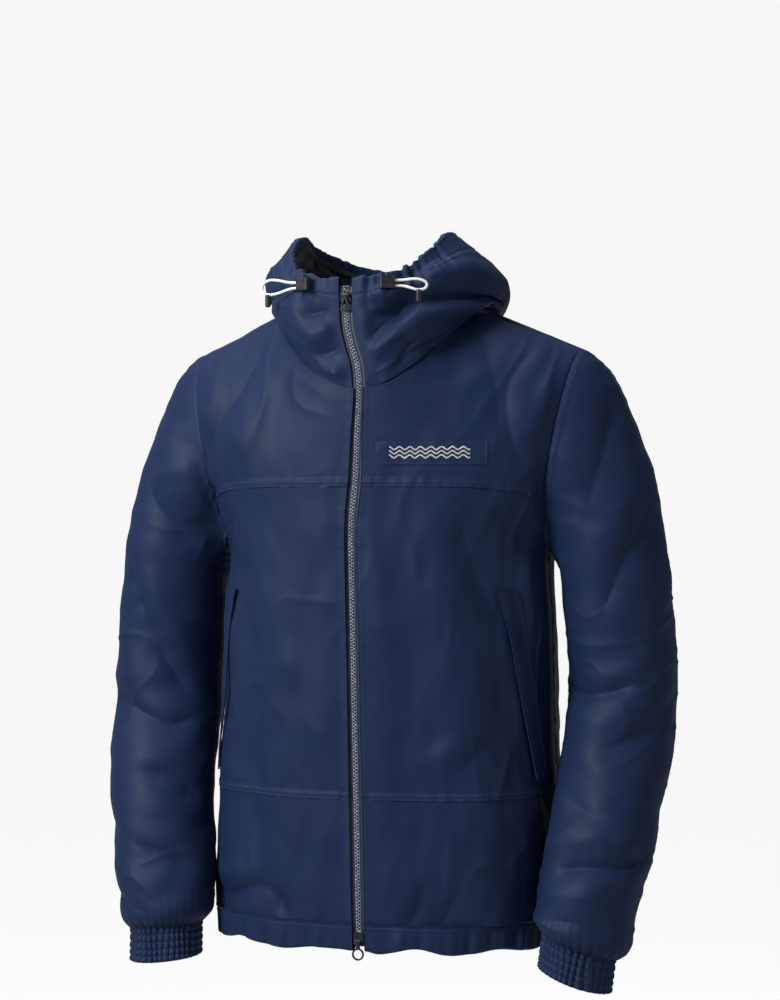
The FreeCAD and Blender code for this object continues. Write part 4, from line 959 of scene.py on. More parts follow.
@dataclass(frozen=True)
class Finish:
    """A procedural finish for one of the record's material slots."""

    slot: str
    low: tuple[float, float, float]
    high: tuple[float, float, float]
    kind: Surface = Surface.CLOTH
    roughness: float = 0.55
    sheen: float = 0.0
    coat: float = 0.0
    metallic: float = 0.0
    thread: float = 0.0005
    relief: float = 0.00004
    crumple: float = 0.0003
    specular: float = 0.5

    def material(self, effects: Effects) -> bpy.types.Material:
        """Builds the finish's material, once."""
        name = f"finish_{self.slot}_{self.kind.value}"
        found = bpy.data.materials.get(name)
        if found:
            return found
        material = bpy.data.materials.new(name)
        material.use_nodes = True
        net = Net(material.node_tree)
        shader = material.node_tree.nodes["Principled BSDF"]
        if self.kind is Surface.HARD:
            place = net.add("ShaderNodeTexCoord").outputs["Object"]
            effect = net.add("ShaderNodeGroup", node_tree=effects.grain)
            net.join(place, effect.inputs["Place"])
            colour = net.blend(effect.outputs["Scuff"], self.low, self.high)
            height = effect.outputs["Height"]
            rough = net.math("ADD", net.math("MULTIPLY", effect.outputs["Scuff"], 0.12), self.roughness)
            crumple = None
        elif self.kind is Surface.CORD:
            place = net.add("ShaderNodeTexCoord").outputs["UV"]
            effect = net.add("ShaderNodeGroup", node_tree=effects.braid)
            net.join(place, effect.inputs["Place"])
            height = effect.outputs["Height"]
            # Painted shade: the colour follows the braid's height, so the grooves between strands get the
            # darker colour and the raised strands the lighter one.
            colour = net.blend(height, self.low, self.high)
            rough = net.math("ADD", self.roughness, 0.0)
            crumple = None
        else:
            place = net.add("ShaderNodeAttribute", attribute_name="cloth_uv").outputs["Vector"]
            seam = net.add("ShaderNodeAttribute", attribute_name="seam").outputs["Fac"]
            dye = net.add("ShaderNodeGroup", node_tree=effects.mottle)
            net.join(place, dye.inputs["Place"])
            net.join(seam, dye.inputs["Seam"])
            weave = net.add("ShaderNodeGroup", node_tree=effects.weave)
            weave.inputs["Thread"].default_value = self.thread
            net.join(place, weave.inputs["Place"])
            colour = net.blend(dye.outputs["Mask"], self.low, self.high)
            height = weave.outputs["Height"]
            rough = net.math("ADD", net.math("MULTIPLY", dye.outputs["Mask"], 0.10), self.roughness - 0.05)
            crumple = dye.outputs["Crumple"]
        net.join(colour, shader.inputs["Base Color"])
        net.join(rough, shader.inputs["Roughness"])
        shader.inputs["Metallic"].default_value = self.metallic
        shader.inputs["Specular IOR Level"].default_value = self.specular
        shader.inputs["Coat Weight"].default_value = self.coat
        shader.inputs["Coat Roughness"].default_value = 0.25
        shader.inputs["Sheen Weight"].default_value = self.sheen
        shader.inputs["Sheen Roughness"].default_value = 0.45
        shader.inputs["Sheen Tint"].default_value = (*(min(1.0, 4.0 * c + 0.25) for c in self.high), 1.0)
        bump = net.add("ShaderNodeBump")
        bump.inputs["Distance"].default_value = self.relief
        bump.inputs["Strength"].default_value = 0.8
        net.join(height, bump.inputs["Height"])
        if crumple is not None:
            handled = net.add("ShaderNodeBump")
            handled.inputs["Distance"].default_value = self.crumple
            handled.inputs["Strength"].default_value = 0.7
            net.join(crumple, handled.inputs["Height"])
            net.join(handled.outputs["Normal"], bump.inputs["Normal"])
        net.join(bump.outputs["Normal"], shader.inputs["Normal"])
        return material

    def dress(self, obj: bpy.types.Object) -> bpy.types.Object:
        """Gives an object this finish."""
        obj.data.materials.clear()
        obj.data.materials.append(self.material(EFFECTS))
        return obj

    def repaint(self, node: str) -> None:
        """Gives a carried-over CAD node this finish in each of its material slots."""
        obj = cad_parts[node]
        material = self.material(EFFECTS)
        if not obj.material_slots:
            obj.data.materials.append(material)
        for holder in obj.material_slots:
            holder.material = material


EFFECTS = Effects()
SHELL = Finish("shell_cloth", (0.0072, 0.0155, 0.049), (0.0135, 0.0280, 0.084), roughness=0.56, sheen=0.02,
               specular=0.15)
LINING = Finish("lining", (0.004, 0.0045, 0.008), (0.009, 0.010, 0.016), roughness=0.6, sheen=0.15,
                specular=0.3)
TAPE = Finish("zip_tape", (0.018, 0.023, 0.040), (0.045, 0.056, 0.088), Surface.TAPE, roughness=0.42,
              thread=0.0007,
              relief=0.00008, crumple=0.0001)
TEETH = Finish("zip_teeth", (0.15, 0.18, 0.25), (0.30, 0.35, 0.46), Surface.HARD, roughness=0.22, coat=0.7,
               relief=0.00001)
METAL = Finish("slider_metal", (0.022, 0.025, 0.034), (0.08, 0.088, 0.11), Surface.HARD, roughness=0.3,
               metallic=0.6,
               coat=0.3, relief=0.00001)
# On the braided cord the low colour is painted shade in the grooves between strands, and the high colour is
# the raised strands.
CORD = Finish("cord", (0.62, 0.63, 0.64), (0.93, 0.93, 0.91), Surface.CORD, roughness=0.7, relief=0.00022)
PLASTIC = Finish("cord_hardware", (0.012, 0.014, 0.022), (0.030, 0.034, 0.05), Surface.HARD, roughness=0.42,
                 relief=0.00002)
STEEL = Finish("spring_steel", (0.42, 0.42, 0.43), (0.6, 0.6, 0.61), Surface.HARD, roughness=0.3,
               metallic=1.0,
               relief=0.00001)
ELASTIC = Finish("elastic", (0.010, 0.011, 0.015), (0.03, 0.031, 0.038), thread=0.0012, relief=0.0003,
                 roughness=0.7)
LABEL = Finish("label", (0.55, 0.55, 0.54), (0.75, 0.75, 0.73), thread=0.0004, roughness=0.7)
ELASTIC_SOLID = Finish("elastic", (0.010, 0.011, 0.015), (0.03, 0.031, 0.038), Surface.HARD, relief=0.0002,
                       roughness=0.7)
MARK = Finish("cord", (0.62, 0.63, 0.64), (0.93, 0.93, 0.91), Surface.HARD, roughness=0.5, relief=0.00002)
CORD_SOLID = Finish("cord", (0.62, 0.63, 0.64), (0.93, 0.93, 0.91), Surface.HARD, roughness=0.7,
                    relief=0.0001)
THREAD_FINISH = Finish("shell_cloth", (0.018, 0.030, 0.080), (0.036, 0.056, 0.14), Surface.HARD,
                       roughness=0.45,
                       relief=0.00001)


def settle(obj: bpy.types.Object, body: str, nodes: Sequence[str] = ()) -> bpy.types.Object:
    """Rides an object on a body and lets it stand for CAD nodes."""
    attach(obj, body)
    if nodes:
        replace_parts(obj, *nodes)
    return obj


# ==== Body ===================================================================================
@dataclass(frozen=True)
class BodyCloth:
    """Yokes, body panels and lower panels, front and back."""

    fade: float = 28.0
    overlap: float = 3.5
    trench: float = 9.0
    thickness: float = 0.9

    def relief(self, side: int, front: bool, s: np.ndarray, z: np.ndarray) -> np.ndarray:
        """Displacement of the torso's cloth, none where front meets back or sleeve."""
        field = FRONT_FOLDS if front else BACK_FOLDS
        s, z = np.broadcast_arrays(np.asarray(s, float), np.asarray(z, float))
        height = field(side * s * CHART, z)
        meets = ease((1.0 - np.abs(s)) * CHART / self.fade)
        if front:
            meets = meets * ease((np.abs(s) * CHART + 4.0) / 26.0)
            height = height * meets
            offset, t = SHAPE.pocket_offset(np.abs(s), z)
            mouth = ease((7.0 - np.abs(offset)) / 3.0) * ease((t - 0.05) / 0.012) * ease((0.95 - t) / 0.012)
            return height - self.trench * mouth
        return height * meets

    def surface(self, side: int, front: bool, x: np.ndarray, z: np.ndarray, stand: float = 0.0) -> Patch:
        """Small patch of the finished front at given places, standing off by a set distance."""
        s = SHAPE.ring_share(x, z)
        patch = Patch(SHAPE.torso(side, front, s, z), (0.0, 0.0, -300.0))
        return patch.push(self.relief(side, front, s, z) + stand)

    def panel(self, side: int, front: bool, low: Callable, high: Callable,
              wide: tuple[float, float]) -> Patch:
        """Patch of the torso between two seams, from its centre out to its side seam."""
        shares = wide[0] + (wide[1] - wide[0]) * graded((wide[1] - wide[0]) * 245.0)
        heights = graded(abs(float(high(0.0) - low(0.0))))
        s, t = np.meshgrid(shares, heights, indexing="ij")
        z = mix(low(np.abs(s)), high(np.abs(s)), t)
        patch = Patch(SHAPE.torso(side, front, s, z), (0.0, 0.0, -330.0))
        return patch.push(self.relief(side, front, s, z))

    def yoke(self, side: int, front: bool, wide: tuple[float, float]) -> Patch:
        """Patch of a yoke from its seam up to the neck and shoulder."""
        shares = wide[0] + (wide[1] - wide[0]) * graded((wide[1] - wide[0]) * 235.0)
        s, t = np.meshgrid(shares, graded(170.0) * 0.999, indexing="ij")
        points = SHAPE.yoke(side, front, s, t)
        x = np.abs(points[..., 0]
                   - (SHAPE.sway(np.abs(points[..., 0]), points[..., 2]) if front else 0.0) * side)
        share = SHAPE.ring_share(x, points[..., 2])
        patch = Patch(points, (0.0, 0.0, -330.0))
        height = self.relief(side, front, np.sign(s) * share, points[..., 2])
        height = height * ease(patch.from_edge(Edge.U1) / 22.0) * ease(patch.from_edge(Edge.V1) / 18.0)
        if wide[0] < 0:
            height = height * ease(patch.from_edge(Edge.U0) / 22.0)
        return patch.push(height)

    def build(self) -> None:
        """Builds and sews every torso panel."""
        edge = SHAPE.fabric_edge / SHAPE.chest
        first = edge ** (SHAPE.power / 2) * 2 / math.pi
        thread = Thread()
        for side, word in SIDES:
            yoke = self.yoke(side, True, (first, 0.999))
            yoke.lap(Edge.V0, seed=3).lap(Edge.U0, 0.7, 5.0, (3.4,), 0.15, 9).tuck(Edge.U1, 0.6, 2.5)
            thread.edge(yoke, Edge.V0, (1.6, 6.2))
            thread.edge(yoke, Edge.U0, (3.4,))
            self.finish(yoke, f"cloth_front_yoke_{word}", "front_yoke_" + word)
            front = self.panel(side, True, lambda s: SHAPE.lower_seam_z + 0 * s,
                               lambda s: SHAPE.yoke_z(s) + self.overlap, (first, 0.9995))
            front.tuck(Edge.V1, 1.1, 3.6).lap(Edge.V0, 0.9, 7.0, (1.6, 6.0), 0.3, 21)
            front.lap(Edge.U0, 0.7, 5.0, (3.4,), 0.15, 10)
            thread.edge(front, Edge.V0, (1.6, 6.0))
            thread.edge(front, Edge.U0, (3.4,))
            self.finish(front, f"cloth_front_panel_{word}", "front_panel_" + word)
            lower = self.panel(side, True, lambda s: SHAPE.hem_z + SHAPE.hem_height + 0 * s,
                               lambda s: SHAPE.lower_seam_z + self.overlap + 0 * s, (first, 0.9995))
            lower.tuck(Edge.V1, 1.1, 3.6).lap(Edge.U0, 0.7, 5.0, (3.4,), 0.15, 12)
            thread.edge(lower, Edge.U0, (3.4,))
            self.finish(lower, f"cloth_lower_front_{word}", "lower_front_" + word)
        yoke = self.yoke(1, False, (-0.999, 0.999))
        yoke.lap(Edge.V0, seed=31)
        thread.edge(yoke, Edge.V0, (1.6, 6.2))
        self.finish(yoke, "cloth_back_yoke", "back_yoke")
        back = self.panel(1, False, lambda s: SHAPE.lower_seam_z + 0 * s,
                          lambda s: SHAPE.yoke_z(np.abs(s)) + self.overlap, (-0.9995, 0.9995))
        back.tuck(Edge.V1, 1.1, 3.6).lap(Edge.V0, 0.9, 7.0, (1.6, 6.0), 0.3, 33)
        back.lap(Edge.U0, 0.6, 6.0, (2.0, 5.5), 0.3, 34).lap(Edge.U1, 0.6, 6.0, (2.0, 5.5), 0.3, 35)
        thread.edge(back, Edge.V0, (1.6, 6.0))
        self.finish(back, "cloth_back_panel", "back_panel")
        lower = self.panel(1, False, lambda s: SHAPE.hem_z + SHAPE.hem_height + 0 * s,
                           lambda s: SHAPE.lower_seam_z + self.overlap + 0 * s, (-0.9995, 0.9995))
        lower.tuck(Edge.V1, 1.1, 3.6)
        self.finish(lower, "cloth_lower_back", "lower_back")
        for side, word in SIDES:
            self.shoulder(side, word)
        settle(thread.build("thread_body", THREAD_FINISH), "torso")
        LOG.info("body panels built")

    def shoulder(self, side: int, word: str) -> None:
        """Felled seam along the top of a shoulder, over the edges of both yokes."""
        share = (SHAPE.neck_share + 0.004, 0.999)
        front = self.yoke(side, True, share)
        back = self.yoke(side, False, share)
        ahead = front.points[:, front.from_edge(Edge.V1)[0] < 6.0]
        behind = back.points[:, back.from_edge(Edge.V1)[0] < 4.0]
        patch = Patch(np.concatenate([ahead, behind[:, ::-1]], axis=1), (0.0, 0.0, -330.0))
        patch.push(0.35 + 0 * patch.points[..., 0]).tuck(Edge.V0, 0.7, 2.0).tuck(Edge.V1, 0.7, 2.0)
        settle(SHELL.dress(patch.mesh(f"cloth_shoulder_seam_{word}", self.thickness)), "torso")

    def finish(self, patch: Patch, name: str, node: str) -> None:
        """Meshes and dresses one panel."""
        settle(SHELL.dress(patch.mesh(name, self.thickness)), "torso", (node,))


@dataclass(frozen=True)
class Hem:
    """Hem casing with its gathers, and the elastic inside it."""

    body: BodyCloth
    room: float = 6.0
    wall: float = 1.5
    girth: float = 960.0
    stitch_rise: float = 22.5

    def ring(self, inset: np.ndarray, z: np.ndarray, angle: np.ndarray) -> np.ndarray:
        """Points round the hem at angles from the zip."""
        power = 2.0 / SHAPE.power
        x = (SHAPE.half_width(z) - inset) * np.sign(np.sin(angle)) * np.abs(np.sin(angle)) ** power
        depth = np.abs(np.cos(angle)) ** power
        front = np.cos(angle) >= 0
        y = np.where(front, (SHAPE.zip_line(z)[..., 1] + inset) * depth, (SHAPE.back_depth - inset) * depth)
        shift = np.where(front, SHAPE.sway(np.abs(x), z), 0.0)
        return stacked(x + shift, y, z)

    def build(self) -> None:
        """Builds the casing and dresses the elastic."""
        top = SHAPE.hem_z + SHAPE.hem_height + 2.0
        start = math.asin((SHAPE.fabric_edge / SHAPE.hem_width) ** (SHAPE.power / 2))
        shares = np.linspace(0.0, 1.0, 620)
        angle = mix(start, 2 * np.pi - start, shares)[:, None]
        deep = self.room + 2 * self.wall
        down = np.linspace(top, SHAPE.hem_z + 2.0, 26)
        fold = np.linspace(0.0, np.pi, 9)[1:-1]
        z = np.concatenate([down, SHAPE.hem_z + 2.0 - 2.6 * np.sin(fold), down[::-1]])[None, :]
        inset = np.concatenate([0 * down, deep / 2 * (1 - np.cos(fold)), 0 * down + deep])[None, :]
        outer = np.concatenate([0 * down + 1.0, np.cos(fold), 0 * down - 1.0])[None, :]
        points = self.ring(inset, z, angle)
        patch = Patch(points, (0.0, 0.0, 0.0))
        patch.sign = 1.0 if float(patch.normals()[200, 8] @ (points[200, 8] * (1, 1, 0))) > 0 else -1.0
        centre = points[:, :1, 0]
        share = SHAPE.ring_share(np.abs(centre), np.minimum(z, top))
        front = np.cos(angle) >= 0
        side = np.sign(np.sin(angle))
        level = np.maximum(z, SHAPE.hem_z + SHAPE.hem_height)
        follow = np.where(front, self.body.relief(1, True, side * share, level),
                          self.body.relief(1, False, side * share, level))
        follow = np.where(np.isfinite(follow), follow, 0.0)
        along = angle / (2 * np.pi) * self.girth
        gather = Ripples(301, 17.0, (1.0, 9.0), 18)(along + 0 * z, z + 0 * along)
        strong = (0.9 + 0.7 * np.exp(-((along - 55.0) / 45.0) ** 2)
                  + 0.6 * np.exp(-((self.girth - along - 40.0) / 40.0) ** 2))
        low = ease((top - z) / 20.0)
        away = ease(patch.from_edge(Edge.U0) / 16.0) * ease(patch.from_edge(Edge.U1) / 16.0)
        shift = (follow + outer * gather * strong * low * 0.9) * away
        stitched = SHAPE.hem_z + self.stitch_rise
        groove = -0.5 * np.exp(-((z - stitched) / 0.9) ** 2) * (outer > 0)
        lip = -1.0 * ease((z - (top - 3.0)) / 2.0) * (outer > 0)
        normal = patch.normals()
        radial = normal[:, 8:9] * np.ones_like(normal)
        patch.points = patch.points + radial * (shift + groove + lip)[..., None]
        wave = 1.6 * Ripples(311, 60.0)(along, 0 * along) * ease((SHAPE.hem_z + 16.0 - z) / 16.0) * away
        patch.points[..., 2] += wave
        patch.seam = 0.8 * np.exp(-np.abs(z - stitched) / 4.0) + 0 * along
        settle(SHELL.dress(patch.mesh("cloth_hem", 0.8)), "torso", ("hem_casing",))
        thread = Thread()
        row = int(np.argmin(np.abs(down - stitched)))
        thread.row(patch.points[:, row], normal[:, row])
        settle(thread.build("thread_hem", THREAD_FINISH), "torso")
        ELASTIC_SOLID.repaint("hem_elastic")
        LOG.info("hem built")


# ==== Pockets ================================================================================
@dataclass(frozen=True)
class Pockets:
    """Welts over the pocket mouths and the bags behind them; the left welt gapes more."""

    gapes = {"left": 2.4, "right": 1.1}
    width: float = 27.0
    thickness: float = 1.6
    stand_off: float = 1.2
    bag_depth: float = 12.0
    bag_reach: float = 92.0
    height: float = 200.0

    def build(self) -> None:
        """Builds both pockets."""
        for side, word in SIDES:
            across = self.width * (graded(self.width, 1.6, 0.8, 5.0) - 0.5)
            offset, t = np.meshgrid(across, graded(self.height, 2.6, 1.0), indexing="ij")
            points = SHAPE.pocket_point(side, offset, t)
            patch = Patch(points, (0.0, 0.0, -400.0))
            x = np.abs(points[..., 0])
            follow = FRONT_FOLDS(side * SHAPE.ring_share(x, points[..., 2]) * CHART, points[..., 2])
            free = ease(0.5 - offset / self.width)
            ripple = Ripples(401 + side, 48.0, (1.0, 1.6))(offset, t * self.height)
            gape = self.gapes[word] + 0.8 * ripple
            patch.push(np.clip(0.35 * follow, -0.6, 2.6) + self.stand_off + self.thickness + free * gape)
            patch.lap(Edge.U0, 0.35, 5.0, (4.0,), 0.12, 41).lap(Edge.U1, 0.3, 4.0, (1.6,), 0.1, 42)
            body = "pocket_welt_" + word
            settle(SHELL.dress(patch.mesh(f"cloth_pocket_welt_{word}", self.thickness)), body,
                   ("pocket_welt_" + word,))
            thread = Thread()
            thread.edge(patch, Edge.U0, (4.0,))
            thread.edge(patch, Edge.U1, (1.6,))
            settle(thread.build(f"thread_pocket_welt_{word}", THREAD_FINISH), body)
            self.bag(side, word)
        LOG.info("pockets built")

    def bag(self, side: int, word: str) -> None:
        """Soft bag hanging inside the front, open under the mouth."""
        around = np.linspace(0.0, 2 * np.pi, 97)[:, None]
        t = graded(self.height, 5.0, 2.0, 10.0)[None, :]
        low, high = -self.bag_reach, 10.0
        reach = (high - low) / 2
        offset = (low + high) / 2 + reach * np.sign(np.cos(around)) * np.abs(np.cos(around)) ** 0.5
        deep = 0.5 + 0.5 * np.sign(np.sin(around)) * np.abs(np.sin(around)) ** 0.7
        ends = np.clip(1.0 - np.abs(2 * t - 1.0) ** 14, 0.06, 1.0)
        base = SHAPE.pocket_point(side, offset + 0 * t, t + 0 * offset)
        probe = SHAPE.pocket_point(side, offset + 1.0 + 0 * t, t + 0 * offset) - base
        down = SHAPE.pocket_point(side, offset + 0 * t, np.clip(t + 0.01, 0, 1) + 0 * offset) - base
        down = np.where(np.linalg.norm(down, axis=-1, keepdims=True) < 1e-6, np.array([0.0, 0.0, -1.0]), down)
        outward = np.cross(probe, down)
        outward /= np.maximum(np.linalg.norm(outward, axis=-1, keepdims=True), 1e-9)
        outward *= np.where(outward[..., 1:2] > 0, -1.0, 1.0)
        sag = 0.6 * Ripples(421 + side, 40.0)(offset + 0 * t, self.height * t + 0 * offset)
        x = np.abs(base[..., 0] - SHAPE.sway(np.abs(base[..., 0]), base[..., 2]))
        follow = FRONT_FOLDS(side * SHAPE.ring_share(x, base[..., 2]) * CHART, base[..., 2])
        depth = 3.4 + (self.bag_depth - 1.0) * deep * ends + sag * deep - np.minimum(follow, 0.0)
        patch = Patch(base - outward * depth[..., None], base.mean(axis=(0, 1)))
        settle(LINING.dress(patch.mesh(f"lining_pocket_bag_{word}", 0.5)), "torso", ("pocket_bag_" + word,))


# ==== Sleeves ================================================================================
SLANTS = {1: 0.34, -1: 0.10}


@dataclass(frozen=True)
class Sleeves:
    """Sleeves from the armholes to the gathered cuffs."""

    thickness: float = 0.9
    cuff_wall: float = 1.2
    elastic: float = 1.2
    pleats: int = 34

    @staticmethod
    def tilt(side: int, points: np.ndarray) -> np.ndarray:
        """Slants the wrist end of the sleeve square to the forearm."""
        centre = SHAPE.sleeve_centre(points[..., 2])
        slant = SLANTS[side]
        share = ease((-617.0 - points[..., 2]) / 50.0)
        out = points.copy()
        out[..., 2] -= slant * (side * points[..., 0] - centre[..., 0]) * share
        return out

    def sleeve(self, side: int) -> tuple[Patch, np.ndarray, np.ndarray]:
        """Whole sleeve as one closed grid, with the turns and rows it is made of."""
        turns = np.linspace(0.0, 360.0, 169)
        head = np.concatenate([[0.0, 0.012, 0.024, 0.04, 0.056], np.linspace(0.075, 1.0, 52)])
        upper = np.linspace(-300.0, SHAPE.elbow_z, 46)[1:]
        fore = np.linspace(SHAPE.elbow_z, SHAPE.cuff_top_z - 1.0, 104)[1:]
        turn, t = np.meshgrid(turns, head, indexing="ij")
        top = SHAPE.head_point(side, turn, t)
        turn_low, z_low = np.meshgrid(turns, np.concatenate([upper, fore]), indexing="ij")
        points = np.concatenate([top, SHAPE.tube_point(side, turn_low, z_low)], axis=1)
        turn = np.concatenate([turn, turn_low], axis=1)
        patch = Patch(points, (side * 250.0, 0.0, -320.0))
        field = LEFT_SLEEVE_FOLDS if side > 0 else RIGHT_SLEEVE_FOLDS
        share = ease((turn - 330.0) / 30.0)
        height = mix(field(turn, points[..., 2]), field(turn - 360.0, points[..., 2]), share)
        height[-1] = height[0]
        height = height * ease(patch.from_edge(Edge.V0) / 30.0)
        down = patch.from_edge(Edge.V1)
        pleat = np.abs(np.sin(np.radians(turn) * self.pleats / 2 + 1.3 * np.sin(np.radians(3 * turn)))) - 0.5
        puff = 5.5 * np.exp(-((down - 17.0) / 15.0) ** 2)
        height = height * ease((down + 4.0) / 26.0) + 3.2 * pleat * np.exp(-down / 14.0) + puff
        height -= 2.0 * np.exp(-down / 4.0)
        patch.push(height)
        patch.points = self.tilt(side, patch.points)
        patch.points[-1] = patch.points[0]
        return patch, turns, np.concatenate([head * 0.0, upper, fore])

    def build(self) -> None:
        """Builds both sleeves, cuffs and their thread."""
        for side, word in SIDES:
            patch, turns, rows = self.sleeve(side)
            patch.lap(Edge.V0, 0.8, 8.0, (1.8, 6.4), 0.3, 51 + side)
            for seam_turn in (0.0, 180.0, 360.0):
                arc = (turns[:, None] - seam_turn) * 1.02
                ridge = 0.55 * ease((8.0 - np.abs(arc)) / 2.0)
                for row in (-5.0, 0.0, 5.0):
                    ridge = ridge - 0.45 * np.exp(-((arc - row) / 1.0) ** 2)
                waves = Ripples(71, 12.0, (4.0, 1.0))(arc + 0 * rows[None], patch.from_edge(Edge.V0))
                patch.push(ridge + 0.3 * waves * np.exp(-(arc / 12.0) ** 2))
            patch.points[-1] = patch.points[0]
            normals = patch.normals()
            joint = (normals[0] + normals[-1]) / 2
            normals[0] = normals[-1] = joint / np.linalg.norm(joint, axis=-1, keepdims=True)
            elbow = int(np.argmin(np.abs(rows - SHAPE.elbow_z)))
            middle = len(turns) // 2
            thread = Thread()
            for half, span in (("front", slice(0, middle + 1)), ("back", slice(middle, None))):
                upper = patch.part(span, slice(0, elbow + 1))
                obj = upper.mesh(f"cloth_sleeve_{half}_{word}", self.thickness, normals[span, :elbow + 1])
                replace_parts(SHELL.dress(obj), f"sleeve_{half}_{word}")
                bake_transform(obj)
                lower = patch.part(span, slice(elbow, None))
                obj = lower.mesh(f"cloth_forearm_{half}_{word}", self.thickness, normals[span, elbow:])
                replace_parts(SHELL.dress(obj), f"forearm_{half}_{word}")
                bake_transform(obj)
            thread.edge(patch, Edge.V0, (1.8, 6.4))
            for row in (middle - 2, middle, middle + 2):
                thread.row(patch.points[row, :elbow + 1], normals[row, :elbow + 1])
            obj = thread.build(f"thread_sleeve_{word}", THREAD_FINISH)
            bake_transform(obj)
            for row in (middle - 2, middle, middle + 2):
                thread.row(patch.points[row, elbow:], normals[row, elbow:])
            obj = thread.build(f"thread_forearm_{word}", THREAD_FINISH)
            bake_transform(obj)
            self.cuff(side, word)
        LOG.info("sleeves built")

    def band(self, side: int, inset: np.ndarray, z: np.ndarray, turns: np.ndarray) -> np.ndarray:
        """Ellipse points round the wrist, before the slant."""
        centre = SHAPE.sleeve_centre(z)
        angle = np.radians(turns)
        return stacked(side * (centre[..., 0] + (SHAPE.cuff_wide - inset) * np.cos(angle)),
                       centre[..., 1] - (SHAPE.cuff_deep - inset) * np.sin(angle), z)

    def cuff(self, side: int, word: str) -> None:
        """Gathered cuff, folded up inside round its elastic."""
        turns = np.linspace(0.0, 360.0, 409)[:, None]
        top = SHAPE.cuff_top_z + 1.5
        low = SHAPE.cuff_bottom_z + 1.6
        deep = 2 * self.cuff_wall + self.elastic + 0.8
        down = np.linspace(top, low, 40)
        fold = np.linspace(0.0, np.pi, 8)[1:-1]
        z = np.concatenate([down, low - 1.8 * np.sin(fold), down[::-1]])[None, :]
        inset = np.concatenate([0 * down, deep / 2 * (1 - np.cos(fold)), 0 * down + deep])[None, :]
        outer = np.concatenate([0 * down + 1.0, np.cos(fold), 0 * down - 1.0])[None, :]
        points = self.band(side, inset, z + 0 * turns, turns)
        angle = np.radians(turns)
        wander = 1.3 * np.sin(3 * angle) + 0.5 * np.sin(np.radians(7 * turns) + 0.08 * z)
        pleat = np.abs(np.sin(angle * self.pleats / 2 + wander)) - 0.5
        rows = (-670.0, -677.5, -685.0, -691.5)
        pull = sum(np.exp(-((z - row) / 1.5) ** 2) for row in rows)
        amount = (1.9 - 1.1 * np.clip(pull, 0, 1)) * (0.75 + 0.25 * np.sin(5 * angle + 1.0))
        height = 1.9 * pleat * amount - 0.7 * np.clip(pull, 0, 1) + 0.9
        height = np.where(outer > 0, height * outer, -0.4 * pleat)
        centre = SHAPE.sleeve_centre(z + 0 * turns)
        radial = points - centre * np.array([side, 1.0, 1.0])
        radial[..., 2] = 0.0
        radial /= np.linalg.norm(radial, axis=-1, keepdims=True)
        points = points + radial * height[..., None]
        points = self.tilt(side, points)
        points[-1] = points[0]
        patch = Patch(points, (0.0, 0.0, 0.0))
        patch.sign = 1.0 if float((patch.normals()[30, 12] * radial[30, 12]).sum()) > 0 else -1.0
        patch.seam = 0.6 * pull + 0 * turns
        settle(SHELL.dress(patch.mesh(f"cloth_cuff_{word}", 0.7)), "forearm_" + word, ("cuff_" + word,))
        thread = Thread(Stitch(2.2, 0.8, 0.26, 0.2))
        for row in rows:
            at = int(np.argmin(np.abs(down - row)))
            thread.row(patch.points[:, at], patch.normals()[:, at])
        settle(thread.build(f"thread_cuff_{word}", THREAD_FINISH), "forearm_" + word)
        middle = self.cuff_wall + 0.4 + self.elastic / 2
        z = np.linspace(SHAPE.cuff_top_z - 4.0, SHAPE.cuff_bottom_z + 4.5, 12)[None, :] + 0 * turns
        ribs = 0.25 * np.sin(np.radians(turns) * 90)
        band = self.tilt(side, self.band(side, middle - self.elastic / 2 + 0.6 + ribs, z, turns))
        elastic = Patch(band, (side * 227.0, -90.0, -700.0))
        settle(ELASTIC.dress(elastic.mesh(f"elastic_cuff_{word}", 0.8)), "forearm_" + word,
               ("cuff_elastic_" + word,))


